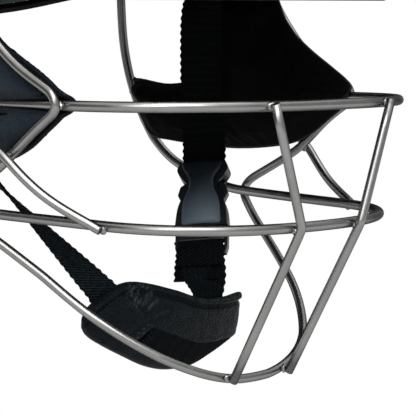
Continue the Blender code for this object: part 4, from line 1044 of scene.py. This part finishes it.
for label, side in SIDES:
    flap = cushion("ear_flap_" + label, "ear_pad_" + label, FLAP_VOXEL, FLAP_PRESSURE, FLAP_CAP,
                   FLAP_SHRINK, flap_held)
    baked(subdivided(flap, 1))
    shape_flap(flap, side)
    flap.data.shade_smooth()


# %% Bound edges
BINDING_R = 0.00125
# How dark the bound edge is: partly a darker tape, partly painted shade from the rim wire beside it.
BINDING_TAPE_AND_SHADE = 0.8
BINDING_IN = 0.0009


def tube(path, radius, sides=8):
    """A closed tube along a closed path, from a grid whose ends are merged, darkened all over: partly a
    darker tape, partly painted shade from the rim wire beside it.
    """
    bm = bmesh.new()
    painted_shade = bm.verts.layers.float.new("painted_shade")
    count = len(path)
    bmesh.ops.create_grid(bm, x_segments=sides, y_segments=count, size=0.5)
    for vert in bm.verts:
        k = round((vert.co.y + 0.5) * count) % count
        angle = math.tau * (vert.co.x + 0.5)
        run = path[(k + 1) % count] - path[k - 1]
        out = Vector((1, 0, 0))
        level = run.cross(out).normalized()
        vert.co = path[k] + radius * (out * math.sin(angle) + level * math.cos(angle))
        vert[painted_shade] = BINDING_TAPE_AND_SHADE
    bmesh.ops.remove_doubles(bm, verts=bm.verts, dist=1e-6)
    bmesh.ops.recalc_face_normals(bm, faces=bm.faces)
    return bm


def inset(loop, distance):
    """A closed outline moved in by a distance."""
    moved = []
    for k, point in enumerate(loop):
        run = loop[(k + 1) % len(loop)] - loop[k - 1]
        moved.append(point + Vector((run.y, -run.x)).normalized() * distance)
    return moved


for label, side in SIDES:
    path = [Vector((side * (flap_edge_x(p.x, p.y) - BINDING_IN), p.x - front_growth(side, p.x, p.y), p.y))
            for p in inset(FLAP[::2], BINDING_R)]
    bound = add_piece("ear_binding_" + label, tube(path, BINDING_R), "navy_vinyl", "helmet", 180.0)
print("bindings done")

# %% [markdown]
# ## Chin cup
# The cup is a folded leather pad. Its upper edge is rolled over, a wing crosses its front, and below the
# wing a woven band shows. A dart with two rows of stitches draws the leather together.
# A grid bent along two outline curves gives the leather, with each feature as a small change of depth.
# The band is a second grid, laid in the hollow that the leather leaves for it.

# %% Chin cup outline
CUP_MID_X, CUP_HALF_WIDTH, CUP_Y = 0.0040, 0.0505, -0.0440
CUP_SWEEP, CUP_TURN_UNDER, CUP_THICKNESS = 0.0060, 0.0070, 0.0060
CUP_TOP = ((-1.0, -0.0965), (-0.93, -0.0908), (-0.8, -0.0860), (-0.6, -0.0812), (-0.4, -0.0814),
           (0.0, -0.0866), (0.35, -0.0921), (0.7, -0.0938), (1.0, -0.0930))
CUP_BOTTOM = ((-1.0, -0.0985), (-0.93, -0.1035), (-0.8, -0.1080), (-0.55, -0.1145), (-0.25, -0.1212),
              (0.05, -0.1248), (0.35, -0.1245), (0.65, -0.1198), (1.0, -0.1132))
BAND_FOLD, BAND_END, BAND_SUNK = -0.28, 0.90, 0.0018
DART_SLANT = 0.75
TURN_TOP, TURN_HEIGHT = -0.092, 0.032
EDGE_SHARE = 0.66
WING, WING_LOWEST = (0.54, 0.20, 0.27), 0.97
LIP_TOP, LIP_FADE = 0.84, (-0.45, 0.30)


def cup_height(u):
    """The cup's height at a share of its width."""
    return curve_at(CUP_TOP, u) - curve_at(CUP_BOTTOM, u)


def cup_point(u, v, depth):
    """A point of the cup: u from -1 (right end) to 1, v from 0 (top) to 1, depth from its middle."""
    z = curve_at(CUP_TOP, u) - cup_height(u) * v
    under = max((TURN_TOP - z) / TURN_HEIGHT, 0.0)
    y = CUP_Y + CUP_SWEEP * u * u + CUP_TURN_UNDER * under ** 2 + depth
    return Vector((CUP_MID_X + CUP_HALF_WIDTH * u, y, z))


def cup_half(u, v):
    """Half the cup's thickness, thinner towards its edges."""
    crown = (1 - u ** 8) * (1 - (2 * v - 1) ** 6)
    return CUP_THICKNESS / 2 * (EDGE_SHARE + (1 - EDGE_SHARE) * crown)


def wing_edge(u):
    """Share of the height at which the wing's lower edge runs."""
    return min(WING[0] + WING[1] * u + WING[2] * u * u, WING_LOWEST)


def dart_share(v):
    """Where the band begins at a height: the dart slants down to the right end."""
    return BAND_FOLD - DART_SLANT * max(v - wing_edge(BAND_FOLD), 0.0)


def lip_edge(u):
    """Share of the height at which the leather lip below the band begins."""
    return LIP_TOP + (1 - LIP_TOP) * smooth(*LIP_FADE, u)


print("cup ends", cup_point(-1, 0.5, 0), cup_point(1, 0.5, 0))


# %% Chin cup leather
# Each crease: the strength of its painted highlight, and its line of (share across, share down) points.
CREASES = ((0.48, ((-0.300, 0.117), (-0.340, 0.150), (-0.375, 0.205), (-0.392, 0.262))),
           (0.40, ((-0.230, 0.167), (-0.290, 0.217), (-0.330, 0.267), (-0.345, 0.315))),
           (0.12, ((-0.590, 0.215), (-0.530, 0.262), (-0.480, 0.335), (-0.420, 0.395))),
           (0.10, ((-0.120, 0.270), (-0.200, 0.315), (-0.290, 0.385))))
ROLL_LIFT, ROLL_DOWN, ROLL_HALF = 0.0011, 0.0016, 0.0017
GROOVE_DEPTH, GROOVE_DOWN, GROOVE_WIDTH = 0.0010, 0.0040, 0.0009
CREASE_LIFT, CREASE_WIDTH, CREASE_HIGHLIGHT_WIDTH = 0.0005, 0.0009, 0.0005
TROUGH_SHARE, TROUGH_AWAY, TROUGH_WIDTH = 0.6, 0.0019, 0.0010
CRUMPLE = ((420, 0.00010), (150, 0.00028))
STITCH_ROWS, STITCH_PITCH, STITCH_LIFT, STITCH_SCUFF = (0.022, 0.062), 0.0021, 0.00035, 1.6
DART_DEPTH, DART_AWAY, DART_WIDTH = 0.0007, 0.095, 0.020
HEM_DEPTH, HEM_UP, HEM_WIDTH = 0.0003, 0.0024, 0.0005
PALE_PLACE, PALE_SPREAD, PALE_GAIN = (-0.45, 0.17), (0.14, 0.13), 2.6
STREAK, STREAK_CUT, STREAK_BASE = ((110, -191), (953, 550)), 0.05, 0.6
DART_START, DART_STOP, THREAD_LOW = (0.46, 0.52), (0.90, 0.80), 0.6
ROW_LIFT_WIDTH, ROW_SCUFF_WIDTH = 0.010, 0.008
BAND_SLOPE_DOWN, BAND_SLOPE_ACROSS = 22, 26
CUP_GRID, CUP_ROUNDING, ROUNDING_SHARE = (150, 64), 0.09, 0.75


def in_band(u, v):
    """1 where the band lies, 0 on the leather, with a short slope between."""
    over = wing_edge(u) if u > BAND_FOLD else wing_edge(BAND_FOLD)
    down_room = min(v - over, lip_edge(u) - v) * BAND_SLOPE_DOWN
    across_room = min(u - dart_share(v), BAND_END - u) * BAND_SLOPE_ACROSS
    return min(max(min(down_room, across_room), 0.0), 1.0)


def crease_distance(x, down, crease):
    """How far a spot of the cup's face is from a crease, a line of (share across, share down) points."""
    spot, best = Vector((x, down)), 1.0
    line = [Vector((u * CUP_HALF_WIDTH, v * cup_height(u))) for u, v in crease]
    for a, b in zip(line, line[1:]):
        share = min(max((spot - a).dot(b - a) / (b - a).length_squared, 0.0), 1.0)
        best = min(best, (a.lerp(b, share) - spot).length)
    return best


def cup_relief(u, v):
    """How far the leather stands out from its plain face, and how pale it is: pale streaks in one patch, pale
    stitches and painted highlights along the creases.
    """
    height = cup_height(u)
    x, down = u * CUP_HALF_WIDTH, v * height
    roll = ROLL_LIFT * math.sqrt(max(1 - ((down - ROLL_DOWN) / ROLL_HALF) ** 2, 0.0))
    roll -= GROOVE_DEPTH * hump(down - GROOVE_DOWN, GROOVE_WIDTH)
    near = [(crease_distance(x, down, line), strength) for strength, line in CREASES]
    ridge = sum(hump(away, CREASE_WIDTH) - TROUGH_SHARE * hump(away - TROUGH_AWAY, TROUGH_WIDTH)
                for away, _ in near)
    crumple = sum(noise.noise(Vector((x, down, 0.0)) * scale) * size for scale, size in CRUMPLE)
    fold = u - dart_share(v)
    on_dart = smooth(*DART_START, v) * smooth(*DART_STOP, v)
    thread = THREAD_LOW + (1 - THREAD_LOW) * math.cos(math.tau * down / STITCH_PITCH)
    dart = sum(hump(fold + gap, ROW_LIFT_WIDTH) for gap in STITCH_ROWS) * STITCH_LIFT * thread
    dart -= DART_DEPTH * hump(fold + DART_AWAY, DART_WIDTH)
    hem = -HEM_DEPTH * hump((wing_edge(u) - v) * height - HEM_UP, HEM_WIDTH) if u > BAND_FOLD else 0.0
    lift = roll + CREASE_LIFT * ridge + crumple + dart * on_dart + hem
    streak = noise.noise(Vector([a * x + b * down for a, b in STREAK] + [0.0]))
    patch = hump(u - PALE_PLACE[0], PALE_SPREAD[0]) * hump(v - PALE_PLACE[1], PALE_SPREAD[1])
    pale_and_highlight = max(streak - STREAK_CUT, 0.0) * PALE_GAIN * patch
    # Painted highlight: the leather is paler along each crease, by that crease's strength.
    pale_and_highlight += sum(strength * hump(away, CREASE_HIGHLIGHT_WIDTH) for away, strength in near) * (STREAK_BASE + streak)
    stitch = max(thread - THREAD_LOW, 0.0) * sum(hump(fold + gap, ROW_SCUFF_WIDTH) for gap in STITCH_ROWS)
    return lift, min(max(pale_and_highlight + STITCH_SCUFF * on_dart * stitch, 0.0), 1.0)


bm = bmesh.new()
pale_highlight_layer = bm.verts.layers.float.new("pale_and_highlight")
bmesh.ops.create_grid(bm, x_segments=CUP_GRID[0], y_segments=CUP_GRID[1], size=1.0)
backs = doubled(bm)
for vert in bm.verts:
    u, v = vert.co.x, (1 - vert.co.y) / 2
    half = cup_half(u, v)
    edge = min(1 - abs(u), 2 * v, 2 * (1 - v))
    rounding = half * (1 - math.sqrt(1 - (1 - min(edge / CUP_ROUNDING, 1.0)) ** 2)) * ROUNDING_SHARE
    if vert in backs:
        vert.co = cup_point(u, v, half - rounding)
    else:
        lift, pale_and_highlight = cup_relief(u, v)
        vert[pale_highlight_layer] = pale_and_highlight
        vert.co = cup_point(u, v, rounding - half - lift + BAND_SUNK * in_band(u, v))
face_out(bm)
cup = subdivided(stand_in("chin_cup_leather", bm, "chin_cup", 180.0), 1)
print("cup points", len(cup.data.vertices))

# %% Woven band
BAND_PROUD, BAND_THICKNESS = 0.0004, 0.0009
BAND_GRID, BAND_WEAVE = (90, 24), (0.030, 0.008)
bm = bmesh.new()
uv = bm.loops.layers.uv.new("UVMap")
bmesh.ops.create_grid(bm, x_segments=BAND_GRID[0], y_segments=BAND_GRID[1], size=1.0)
for face in bm.faces:
    for loop in face.loops:
        loop[uv].uv = (loop.vert.co.x * BAND_WEAVE[0], loop.vert.co.y * BAND_WEAVE[1])
backs = doubled(bm)
for vert in bm.verts:
    across, down = (vert.co.x + 1) / 2, (1 - vert.co.y) / 2
    v = wing_edge(BAND_FOLD) + (lip_edge(BAND_FOLD) - wing_edge(BAND_FOLD)) * down
    first = dart_share(v)
    u = first + (BAND_END - first) * across
    over = wing_edge(u) if u > BAND_FOLD else wing_edge(BAND_FOLD) + (BAND_FOLD - u) / DART_SLANT
    v = over + (lip_edge(u) - over) * down
    depth = -cup_half(u, v) + BAND_SUNK - BAND_PROUD
    vert.co = cup_point(u, v, depth if vert in backs else depth - BAND_THICKNESS)
face_out(bm)
band = stand_in("chin_band_fabric", bm, "chin_band", 60.0)

# %% [markdown]
# ## Buckle
# The socket is a moulded shell with a smooth, slightly crowned plate on each face; the plug's two prongs
# show as buttons in its side windows. The solids keep their edges with a small bevel.
# A plate is a grid that follows a narrower hourglass, lifted in its middle so that it catches a gradient.

# %% Buckle parts
BUCKLE_TOP = Vector((0.0630, -0.0070, -0.0240))
BUCKLE_AIM = Vector((0.0320, -0.0344, -0.0915))
BUCKLE_TURN = math.radians(30.0)
BUCKLE_HALF, BUCKLE_THICK, SOCKET_LENGTH = 0.01275, 0.0080, 0.034
SOCKET_DROP = 0.012
PLATE_HALF = ((0.0, 0.76), (0.26, 0.73), (0.42, 0.64), (0.54, 0.51), (0.66, 0.47), (0.76, 0.54),
              (0.88, 0.72), (1.0, 0.80))
PLATE_WALL, PLATE_SUNK, PLATE_INSET = 0.0008, 0.0004, 0.0006
CROWN_ACROSS, CROWN_UP, CROWN_TOP = 0.0010, 0.0022, 0.625
# The plate's grid, then the run and slant of its painted highlight.
PLATE_GRID, HIGHLIGHT_RUN, HIGHLIGHT_SLANT = (28, 40), (0.95, 0.10), 0.10


def buckle_place():
    """The buckle's place: X across, Y up the strap, Z out of its face, from where plug meets socket."""
    up = (BUCKLE_TOP - BUCKLE_AIM).normalized()
    across = Vector((math.sin(BUCKLE_TURN), -math.cos(BUCKLE_TURN), 0.0))
    face = across.cross(up).normalized()
    across = up.cross(face).normalized()
    place = Matrix((across, up, face)).transposed().to_4x4()
    place.translation = BUCKLE_TOP - up * (SOCKET_DROP + SOCKET_LENGTH)
    return place


PLACE = buckle_place()
for node in ("buckle_socket", "buckle_plug", "buckle_prong_front", "buckle_prong_rear"):
    bm = merged(node)
    bmesh.ops.dissolve_limit(bm, angle_limit=math.radians(2.0), verts=bm.verts, edges=bm.edges)
    rounded(stand_in(node + "_moulded", bm, node, 34.0), 0.0005, 3)
print("buckle at", [round(c, 4) for c in PLACE.translation])


# %% Buckle plates
def plate(name, facing):
    """A crowned plate on one face of the socket, with a painted highlight towards its lower end."""
    bm = bmesh.new()
    painted_highlight = bm.verts.layers.float.new("painted_highlight")
    bmesh.ops.create_grid(bm, x_segments=PLATE_GRID[0], y_segments=PLATE_GRID[1], size=1.0)
    for vert in bm.verts:
        across, up = vert.co.x, (vert.co.y + 1) / 2
        half = curve_at(PLATE_HALF, up) * BUCKLE_HALF
        ends = 1 - abs(2 * up - 1) ** 24
        crown = CROWN_ACROSS * (1 - across ** 2) + CROWN_UP * (1 - (up / CROWN_TOP - 1) ** 2)
        # Painted highlight: the plate greys towards its lower end and towards one side.
        vert[painted_highlight] = smooth(*HIGHLIGHT_RUN, up + HIGHLIGHT_SLANT * (1 - across * facing))
        lift = PLATE_WALL * (1 - abs(across) ** 10) * ends + crown - PLATE_SUNK
        height = PLATE_INSET + up * (SOCKET_LENGTH - 2 * PLATE_INSET)
        vert.co = PLACE @ Vector((across * half * facing, height, facing * (BUCKLE_THICK / 2 + lift)))
    bmesh.ops.recalc_face_normals(bm, faces=bm.faces)
    out = PLACE.to_3x3() @ Vector((0, 0, facing))
    if sum(face.normal.dot(out) for face in bm.faces) < 0:
        bmesh.ops.reverse_faces(bm, faces=bm.faces)
    wall = add_piece(name, bm, "black_plastic", "chin_sling", 60.0)
    thick = wall.modifiers.new("wall", "SOLIDIFY")
    thick.thickness = PLATE_WALL
    thick.offset = -1.0
    return wall


plate("buckle_face_plate", 1)
plate("buckle_back_plate", -1)
print("plates done")

# %% Webbing through the plug
LOOP = ((-0.0068, -0.0002), (-0.0078, 0.0024), (-0.0096, 0.0033), (-0.0130, 0.0034), (-0.0162, 0.0026),
        (-0.0200, 0.0014))
TAIL = LOOP + ((-0.0240, 0.0016), (-0.0262, 0.0017))
# The last of these numbers is the painted sheen of the loop.
TAIL_SHIFT, LOOP_SPREAD, LOOP_SHEEN = -0.0022, 1.065, 0.15


def loop_rows(points, facing, shift):
    """The two edges of the doubled end of the lower strap, through the slot of the plug."""
    fine = [Vector((0, y, z * facing)) for y, z in points]
    return [[PLACE @ (p + Vector((side * STRAP_WIDTH / 2 + shift, 0, 0))) for p in fine] for side in (-1, 1)]


for name, points, facing, shift in (("webbing_loop_front", LOOP, 1, 0.0),
                                    ("webbing_loop_tail", TAIL, -1, TAIL_SHIFT)):
    bm, length = ribbed_band(loop_rows(points, facing, shift), lambda z: LOOP_SPREAD, LOOP_SHEEN)
    add_piece(name, bm, "black_webbing", "chin_sling", 60.0)
    print(name, "length", round(length, 4))
